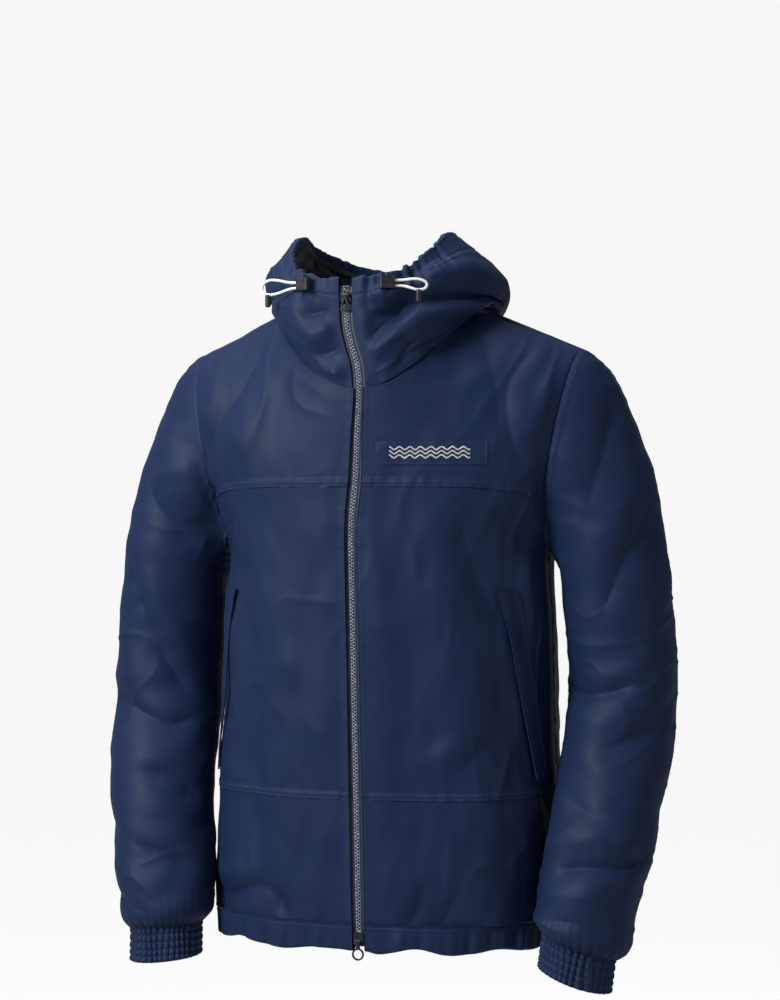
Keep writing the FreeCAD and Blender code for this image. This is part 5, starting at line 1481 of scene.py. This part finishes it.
# ==== Collar and hood ========================================================================
@dataclass(frozen=True)
class HoodAndCollar:
    """Collar, folded-back hood, its casing and its lining."""

    first: float = 3.95
    thickness: float = 1.0
    casing_width: float = 7.0
    casing_height: float = 13.0
    casing_v: float = 0.86
    gather_turn: float = 36.0
    step: float = 1.25

    def build(self) -> None:
        """Builds the collar and hood as one grid and cuts it into its pieces."""
        cuts = (self.first, 52.0, 128.0, 232.0, 308.0, 360.0 - self.first)
        around = np.concatenate([np.linspace(a, b, max(round((b - a) / self.step), 1), endpoint=False)
                                 for a, b in zip(cuts[:-1], cuts[1:])] + [np.array([cuts[-1]])])
        low = np.linspace(-0.015, self.casing_v, 58)
        high = np.linspace(self.casing_v, 1.0, 16)[1:]
        a, v = np.meshgrid(around, np.concatenate([low, high]), indexing="ij")
        turn = np.where(a > 180.0, a - 360.0, a)
        points = SHAPE.hood_point(turn, np.maximum(v, 0.0))
        points[..., 2] += np.minimum(v, 0.0) * 100.0
        roll = np.linspace(0.0, np.pi, 9)[1:]
        inset = np.concatenate([self.casing_width / 2 * (1 - np.cos(roll)), np.full(6, self.casing_width)])
        drop = np.concatenate([-2.6 * np.sin(roll), np.linspace(2.0, self.casing_height, 6)])
        rim = SHAPE.hood_point(turn[:, :1], 1.0 + 0 * turn[:, :1])
        angle = np.radians(turn[:, :1])
        inward = stacked(-np.sin(angle), np.cos(angle), 0.0)
        tail = rim + inward * inset[None, :, None] - np.array([0.0, 0.0, 1.0]) * drop[None, :, None]
        points = np.concatenate([points, tail], axis=1)
        patch = Patch(points, (-7.0, 0.0, float(points[len(around) // 2, 40, 2])))
        patch.sign = -1.0 if float(patch.normals()[20, 30] @ np.array([0.3, -1.0, 0.0])) < 0 else 1.0
        level = np.concatenate([v, 1.0 + 0 * tail[..., 0]], axis=1) * 100.0
        wide = np.repeat(a[:, :1], level.shape[1], axis=1)
        near = HOOD_FOLDS(wide * 1.9, level)
        far = HOOD_FOLDS((wide - 360.0) * 1.9, level)
        height = mix(near, far, ease((wide - 165.0) / 30.0))
        height = height * ease(patch.from_edge(Edge.U0) / 20.0) * ease(patch.from_edge(Edge.U1) / 20.0)
        height = height * ease((level + 2.0) / 12.0)
        height = height * mix(1.0, 0.35, ease((level - 84.0) / 16.0))
        signed = np.where(wide > 180.0, wide - 360.0, wide)
        arc = signed * 1.9
        gather = np.exp(-((np.abs(signed) - self.gather_turn) / 22.0) ** 2) + 0.3
        pleat = Ripples(501, 11.0, (1.0, 12.0), 16)(arc, level)
        height += 1.25 * pleat * gather * ease((level - 62.0) / 26.0) * ease(patch.from_edge(Edge.V1) / 6.0)
        height += 0.5 * Ripples(507, 16.0, (1.0, 3.0), 16)(arc, level) * ease((26.0 - level) / 22.0)
        patch.push(height)
        edge = len(low) - 1
        away = patch.from_edge(Edge.V0)
        line = away[:, edge:edge + 1]
        patch.push(-0.5 * np.exp(-((away - line) / 1.0) ** 2) + 0.4 * ease((away - line) / 1.5)
                   * (np.arange(level.shape[1]) < edge + 18))
        patch.seam = np.exp(-np.abs(away - line) / 5.0)
        indices = [int(np.argmin(np.abs(around - cut))) for cut in cuts]
        for cut in indices[2:4]:
            span = (np.arange(len(around)) - cut)[:, None] * 2.6
            patch.push(0.5 * ease((7.0 - np.abs(span)) / 3.0) - 0.5 * np.exp(-(span / 1.6) ** 2) + 0 * level)
        normals = patch.normals()
        names = ("collar_left", "hood_side_left", "hood_centre", "hood_side_right", "collar_right")
        thread = Thread()
        for name, start, stop in zip(names, indices[:-1], indices[1:]):
            span = slice(start, stop + 1)
            obj = patch.part(span, slice(0, edge + 1)).mesh("cloth_" + name, self.thickness,
                                                            normals[span, :edge + 1])
            settle(SHELL.dress(obj), "torso", (name,))
        obj = patch.part(slice(None), slice(edge, None)).mesh("cloth_hood_casing", 0.8, normals[:, edge:])
        settle(SHELL.dress(obj), "torso", ("hood_casing",))
        thread.row(patch.points[:, edge + 1], normals[:, edge + 1])
        for cut in indices[2:4]:
            for step in (-1, 1):
                thread.row(patch.points[cut + step, 2:edge], normals[cut + step, 2:edge])
        settle(thread.build("thread_hood", THREAD_FINISH), "torso")
        self.lining()
        LOG.info("collar and hood built")

    def lining(self) -> None:
        """Lining inside the neck, sagging a little between its seams."""
        a, v = np.meshgrid(np.linspace(12.0, 348.0, 200), graded(110.0, 2.6, 1.2), indexing="ij")
        turn = np.where(a > 180.0, a - 360.0, a)
        angle = np.radians(turn)
        inset = stacked(-np.sin(angle), np.cos(angle), 0.0) * (self.casing_width + 3.0)
        base = SHAPE.neck_point(turn) + inset + np.array([0.0, 0.0, 6.0])
        rim = (SHAPE.hood_point(turn, 1.0 + 0 * turn) + inset * 0.72
               - np.array([0.0, 0.0, self.casing_height - 5.0]))
        patch = Patch(mix(base, rim, v[..., None]), (0.0, 0.0, 0.0))
        patch.sign = -1.0 if float(patch.normals()[20, 20] @ np.array([0.3, -1.0, 0.0])) < 0 else 1.0
        sag = Ripples(541, 34.0, (1.4, 1.0))(a * 1.8, v * 100.0)
        folds = Ripples(543, 60.0, (2.0, 0.7)).creases(a * 1.8, v * 100.0)
        inside = ease(v * 6.0) * ease((1.0 - v) * 6.0) * ease(patch.from_edge(Edge.U0) / 20.0)
        inside = inside * ease(patch.from_edge(Edge.U1) / 20.0)
        patch.push((0.9 * sag - 2.4 * folds) * inside)
        settle(LINING.dress(patch.mesh("lining_hood", 0.5)), "torso", ("hood_lining",))


# ==== Zip ====================================================================================
@dataclass(frozen=True)
class Closure:
    """Tapes, tooth chains, storm flap and the carried-over sliders, in the zip's own frame."""

    chain_half: float = 2.85
    depth: float = 3.2
    chain_thickness: float = 2.6
    tape_half: float = 15.0
    tape_thickness: float = 0.8
    pitch: float = 3.4
    tooth: float = 1.5
    gap: float = -0.85
    start: float = 14.4

    def place(self, u: np.ndarray, deep: np.ndarray, along: np.ndarray) -> np.ndarray:
        """Point u across, deep inward and along the zip, with the worn zip's bow."""
        up = SHAPE.ZIP_TOP - SHAPE.ZIP_BOTTOM
        up = up / np.linalg.norm(up)
        inward = np.cross(up, (1.0, 0.0, 0.0))
        inward = inward / np.linalg.norm(inward)
        across = np.cross(inward, up)
        point = (SHAPE.ZIP_BOTTOM + across * np.asarray(u, float)[..., None]
                 + inward * np.asarray(deep, float)[..., None] + up * np.asarray(along, float)[..., None])
        point[..., 0] += SHAPE.bow(point[..., 2])
        return point

    @property
    def length(self) -> float:
        """Length of the chain."""
        return float(np.linalg.norm(SHAPE.ZIP_TOP - SHAPE.ZIP_BOTTOM))

    def build(self) -> None:
        """Builds both halves of the closure."""
        for side, word in SIDES:
            self.tape(side, word)
            self.chain(side, word)
        self.flap()
        for node in ("zip_top_stops", "zip_bottom_pins"):
            TEETH.repaint(node)
        for node in ("top_slider", "top_puller", "bottom_slider", "bottom_puller"):
            METAL.repaint(node)
        LOG.info("closure built")

    def tape(self, side: int, word: str) -> None:
        """Coated tape with a rolled cord edge beside the teeth."""
        wide = np.concatenate([np.linspace(2.7, 4.6, 9), np.linspace(5.0, self.tape_half, 12)])
        u, along = np.meshgrid(side * wide, np.linspace(0.0, self.length, 360), indexing="ij")
        ridge = 0.55 * np.exp(-((np.abs(u) - 3.5) / 0.55) ** 2)
        ripple = 0.12 * Ripples(601 + side, 30.0)(u, along)
        deep = self.depth - self.tape_thickness / 2 - ridge + ripple * ease((np.abs(u) - 5.0) / 5.0)
        patch = Patch(self.place(u, deep, along), (0.0, 100.0, -330.0))
        settle(TAPE.dress(patch.mesh(f"tape_zip_{word}", self.tape_thickness)), "torso",
               ("zip_tape_" + word,))

    def chain(self, side: int, word: str) -> None:
        """Moulded teeth, each rounded at its ends, over a continuous bead."""
        near = self.depth - self.chain_thickness / 2
        far = self.depth + self.chain_thickness / 2
        middle_u, middle_d = (self.gap + self.chain_half) / 2, (near + far) / 2
        half_u, half_d = (self.chain_half - self.gap) / 2, (far - near) / 2
        section = []
        for k in range(8):
            angle = math.radians(22.5 + 45 * k)
            section.append((np.sign(math.cos(angle)) * abs(math.cos(angle)) ** 0.6 * half_u,
                            np.sign(math.sin(angle)) * abs(math.sin(angle)) ** 0.6 * half_d))
        section = np.array(section)
        rings = ((-0.5, 0.15), (-0.46, 0.72), (-0.3, 1.0), (0.3, 1.0), (0.46, 0.72), (0.5, 0.15))
        offset = 0.4 if side > 0 else 0.4 + self.pitch / 2
        first = self.start + offset + self.tooth / 2
        stations = np.arange(first, self.length - 2.0 - self.tooth, self.pitch)
        shape = np.array([(side * (middle_u + scale * du), middle_d + scale * dd, lift * self.tooth)
                          for lift, scale in rings for du, dd in section])
        grid = shape[None] + np.array([0.0, 0.0, 1.0]) * stations[:, None, None]
        points = self.place(grid[..., 0], grid[..., 1], grid[..., 2]).reshape(-1, 3)
        one = []
        for ring in range(len(rings) - 1):
            for k in range(8):
                after = (k + 1) % 8
                one.append((ring * 8 + k, ring * 8 + after, ring * 8 + 8 + after, ring * 8 + 8 + k))
        step = len(rings) * 8
        faces = (np.array(one)[None] + step * np.arange(len(stations))[:, None, None]).reshape(-1, 4)
        if side > 0:
            faces = faces[:, ::-1]
        obj = new_mesh(f"teeth_zip_{word}", points, faces)
        obj.data.polygons.foreach_set("use_smooth", np.ones(len(faces), bool))
        settle(TEETH.dress(obj), "torso", ("zip_teeth_" + word,))
        bead_u = (self.chain_half + self.chain_half - 1.1) / 2
        angle, along = np.meshgrid(np.linspace(0.0, 2 * np.pi, 13),
                                   np.linspace(self.start, self.length - 2.0, 320),
                                   indexing="ij")
        patch = Patch(self.place(side * (bead_u + 0.55 * np.cos(angle)),
                                 self.depth + 1.05 * np.sin(angle), along),
                      (0.0, 100.0, -330.0))
        bead = patch.mesh(f"bead_zip_{word}", 0.1)
        settle(TEETH.dress(bead), "torso")

    def flap(self) -> None:
        """Storm flap behind the teeth, quilted by two rows of stitches."""
        u, along = np.meshgrid(-22.0 + 48.0 * graded(48.0, 3.0, 1.2), graded(self.length - 32.0, 5.0, 2.0) *
                               (self.length - 32.0) + 14.0, indexing="ij")
        wave = 0.22 * Ripples(641, 44.0, (1.0, 2.0))(u, along)
        patch = Patch(self.place(u, 8.4 + wave, along), (0.0, 100.0, -330.0))
        patch.lap(Edge.U0, 0.2, 5.0, (3.0,), 0.1, 61).lap(Edge.U1, 0.2, 5.0, (3.0,), 0.1, 62)
        settle(LINING.dress(patch.mesh("cloth_storm_flap", 0.8)), "torso", ("storm_flap",))


# ==== Patch, cords and small pieces ==========================================================
@dataclass(frozen=True)
class ChestPatch:
    """Sewn-on patch with a plain embroidered motif of waves."""

    body: BodyCloth
    width: float = 116.0
    height: float = 25.0
    centre: tuple[float, float] = (78.0, -161.0)
    wave_length: float = 11.0
    wave_height: float = 1.5
    motif: float = 84.0

    def build(self) -> None:
        """Builds the patch and sews it on."""
        a, b = np.meshgrid(graded(self.width, 2.2, 0.9, 5.0) - 0.5, graded(self.height, 1.4, 0.7, 4.0) - 0.5,
                           indexing="ij")
        x = self.centre[0] + a * self.width
        z = self.centre[1] + b * self.height
        patch = self.body.surface(1, True, x, z, 0.75)
        away = np.minimum(np.minimum(patch.from_edge(Edge.U0), patch.from_edge(Edge.U1)),
                          np.minimum(patch.from_edge(Edge.V0), patch.from_edge(Edge.V1)))
        patch.push(0.35 * ease(away / 1.5) - 0.35 * np.exp(-((away - 2.0) / 0.8) ** 2)
                   + 0.12 * Ripples(701, 16.0)(x, z))
        patch.seam = np.exp(-away / 3.0)
        settle(SHELL.dress(patch.mesh("cloth_chest_patch", 0.7)), "torso", ("chest_patch",))
        thread = Thread(Stitch(2.0, 0.7, 0.26, 0.2))
        for edge in Edge:
            thread.edge(patch, edge, (2.0,))
        settle(thread.build("thread_chest_patch", THREAD_FINISH), "torso")
        marks = Thread(Stitch(1.5, -0.15, 0.42, 0.3))
        for row in (-4.2, 0.0, 4.2):
            for step in (-0.42, 0.42):
                x = self.centre[0] + np.linspace(-self.motif / 2, self.motif / 2, 180)
                z = self.centre[1] + row + step + self.wave_height * np.sin(2 * np.pi * x / self.wave_length)
                line = self.body.surface(1, True, np.stack([x, x]), np.stack([z, z - 0.6]), 1.35)
                marks.row(line.points[0], patch.normals()[30, 8] * np.ones((180, 3)))
        settle(marks.build("thread_wave_motif", MARK), "torso")
        LOG.info("chest patch built")


@dataclass(frozen=True)
class CordLoop:
    """A free loop of the hood's drawcord with its bead, from the lock and back to it."""

    word: str
    route: tuple[tuple[float, float, float], ...]
    length: float
    diameter: float = 0.0028

    def build(self) -> None:
        """Builds the loop and dresses its lock, button, spring and bead."""
        curve = bpy.data.curves.new(f"cord_loop_line_{self.word}", "CURVE")
        curve.dimensions = "3D"
        spline = curve.splines.new("NURBS")
        spline.points.add(len(self.route) - 1)
        for point, place in zip(spline.points, self.route):
            point.co = (*(c * MM for c in place), 1.0)
        spline.order_u = 3
        spline.use_endpoint_u = True
        spline.resolution_u = 10
        curve.bevel_depth = self.diameter / 2
        curve.bevel_resolution = 5
        curve.use_fill_caps = True
        obj = bpy.data.objects.new(f"cord_free_loop_{self.word}", curve)
        bpy.context.scene.collection.objects.link(obj)
        settle(CORD.dress(obj), "torso", ("cord_loop_" + self.word,))
        for node in ("cord_lock_", "cord_button_", "cord_end_"):
            PLASTIC.repaint(node + self.word)
        STEEL.repaint("cord_spring_" + self.word)


LOOPS = (
    CordLoop("right", ((-67.6, -114.0, 16.5), (-76.7, -109.9, 16.5), (-90.0, -106.5, 20.0),
                       (-104.0, -101.0, 21.5), (-112.5, -97.0, 16.0), (-112.5, -97.5, 9.5),
                       (-104.0, -102.5, 5.0), (-91.0, -108.0, 6.0),
                       (-76.7, -109.9, 11.0), (-67.6, -114.0, 11.0)), 0.1048),
    CordLoop("left", ((38.0, -114.0, 16.5), (46.2, -110.3, 16.5), (55.0, -109.5, 18.0), (64.0, -107.5, 17.5),
                      (70.5, -105.0, 13.5), (69.0, -106.0, 8.0), (62.0, -109.5, 6.0), (54.0, -112.0, 8.5),
                      (46.2, -110.3, 11.0), (38.0, -114.0, 11.0)), 0.0730),
)


class SmallPieces:
    """Hanger loop, blank neck label and the drawcord in its casing."""

    def build(self) -> None:
        """Builds the small soft pieces."""
        low, high = (np.array(corner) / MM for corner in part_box("hanger_loop"))
        run = np.linspace(0.0, np.pi, 41)
        x = ((low[0] + high[0]) / 2
             - (high[0] - low[0]) / 2 * np.sign(np.cos(run)) * np.abs(np.cos(run)) ** 0.45)
        y = high[1] - (high[1] - low[1]) * np.sin(run) ** 0.5
        z = np.linspace(low[2], high[2], 7)
        patch = Patch(stacked(x[:, None], y[:, None], z[None, :]), (0.0, high[1], float(z[3])))
        patch.push(0.12 * np.cos(np.linspace(-1.0, 1.0, 7) * np.pi)[None, :] + 0 * patch.seam)
        settle(ELASTIC.dress(patch.mesh("strap_hanger_loop", 0.9)), "torso", ("hanger_loop",))
        low, high = (np.array(corner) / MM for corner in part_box("neck_label"))
        x, z = np.meshgrid(np.linspace(low[0], high[0], 60), np.linspace(low[2], high[2], 28), indexing="ij")
        bulge = 0.25 * np.sin((x - low[0]) / (high[0] - low[0]) * np.pi)
        patch = Patch(stacked(x, low[1] - bulge, z), (0.0, high[1] + 50.0, float(z.mean())))
        settle(LABEL.dress(patch.mesh("label_neck_blank", 0.6)), "torso", ("neck_label",))
        thread = Thread(Stitch(1.8, 0.7, 0.22, 0.18))
        for edge in Edge:
            thread.edge(patch, edge, (1.5,))
        settle(thread.build("thread_neck_label", THREAD_FINISH), "torso")
        CORD_SOLID.repaint("hood_drawcord")
        LOG.info("small pieces built")


# ==== Studio =================================================================================
@dataclass(frozen=True)
class Studio:
    """Camera, pale floor and soft lights."""

    azimuth: float = 16.0
    distance: float = 2.6
    target: tuple[float, float, float] = (0.0, 0.0, -0.21)
    view_height: float = 1.08
    sensor: float = 36.0
    floor_z: float = -1.35
    tone: tuple[float, float, float] = (0.95, 0.95, 0.95)

    def build(self) -> None:
        """Builds the studio and makes its camera the scene's."""
        angle = math.radians(self.azimuth)
        right = np.array([math.cos(angle), math.sin(angle), 0.0])
        back = np.array([math.sin(angle), -math.cos(angle), 0.0])
        target = np.array(self.target)
        data = bpy.data.cameras.new("camera")
        data.sensor_fit = "VERTICAL"
        data.sensor_height = self.sensor
        data.lens = self.sensor * self.distance / self.view_height
        camera = bpy.data.objects.new("camera", data)
        camera.location = target + back * self.distance
        camera.rotation_euler = (math.pi / 2, 0.0, angle)
        bpy.context.scene.collection.objects.link(camera)
        bpy.context.scene.camera = camera
        bpy.context.scene.view_settings.view_transform = "Standard"
        self.floor()
        self.world()
        lights = (("key", -1.9, 1.5, 1.25, 1.0, 80.0), ("fill", 2.0, 1.5, 0.2, 2.2, 7.0),
                  ("top", -0.5, -0.1, 1.9, 1.3, 28.0), ("rim", 1.5, -1.9, 0.8, 1.4, 9.0),
                  ("back", -1.4, -1.9, 0.6, 1.4, 15.0))
        for name, across, nearer, up, size, power in lights:
            self.light(name, target + right * across + back * nearer + np.array([0.0, 0.0, up]), size, power)
        LOG.info("studio built")

    def light(self, name: str, place: np.ndarray, size: float, power: float) -> None:
        """Square soft light that faces the jacket's middle."""
        data = bpy.data.lights.new(name, "AREA")
        data.size = size
        data.energy = power
        lamp = bpy.data.objects.new(name, data)
        lamp.location = place
        lamp.visible_glossy = name in ("key", "fill", "top")
        away = np.array(self.target) - place
        lamp.rotation_euler = (math.atan2(math.hypot(away[0], away[1]), -away[2]), 0.0,
                               math.atan2(-away[0], away[1]))
        bpy.context.scene.collection.objects.link(lamp)

    def floor(self) -> None:
        """Wide pale floor."""
        half = 30.0 / MM
        z = self.floor_z / MM
        points = np.array([(-half, -half, z), (half, -half, z), (half, half, z), (-half, half, z)])
        obj = new_mesh("studio_floor", points, np.array([[0, 1, 2, 3]]))
        material = bpy.data.materials.new("studio_pale")
        material.use_nodes = True
        shader = material.node_tree.nodes["Principled BSDF"]
        shader.inputs["Base Color"].default_value = (0.22, 0.22, 0.22, 1.0)
        shader.inputs["Roughness"].default_value = 0.9
        shader.inputs["Specular IOR Level"].default_value = 0.1
        shader.inputs["Emission Color"].default_value = (*self.tone, 1.0)
        net = Net(material.node_tree)
        path = net.add("ShaderNodeLightPath")
        glow = net.math("ADD", net.math("MULTIPLY", path.outputs["Is Camera Ray"], 0.64), 0.30)
        net.join(glow, shader.inputs["Emission Strength"])
        obj.data.materials.append(material)

    def world(self) -> None:
        """Even pale surroundings, brighter to the camera than to the cloth."""
        world = bpy.data.worlds.new("studio_world")
        world.use_nodes = True
        net = Net(world.node_tree)
        sky = world.node_tree.nodes["Background"]
        sky.inputs["Color"].default_value = (*self.tone, 1.0)
        path = net.add("ShaderNodeLightPath")
        strength = net.math("ADD", net.math("MULTIPLY", path.outputs["Is Camera Ray"], 0.83), 0.15)
        net.join(strength, sky.inputs["Strength"])
        bpy.context.scene.world = world


def main() -> None:
    """Builds the studio, the cords and then every sub-assembly."""
    logging.basicConfig(level=logging.INFO, format="%(message)s")
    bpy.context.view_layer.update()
    Studio().build()
    for loop in LOOPS:
        loop.build()
    body = BodyCloth()
    for part in (body, Hem(body), Pockets(), Sleeves(), HoodAndCollar(), Closure(), ChestPatch(body),
                 SmallPieces()):
        part.build()


if __name__ == "__main__":
    main()
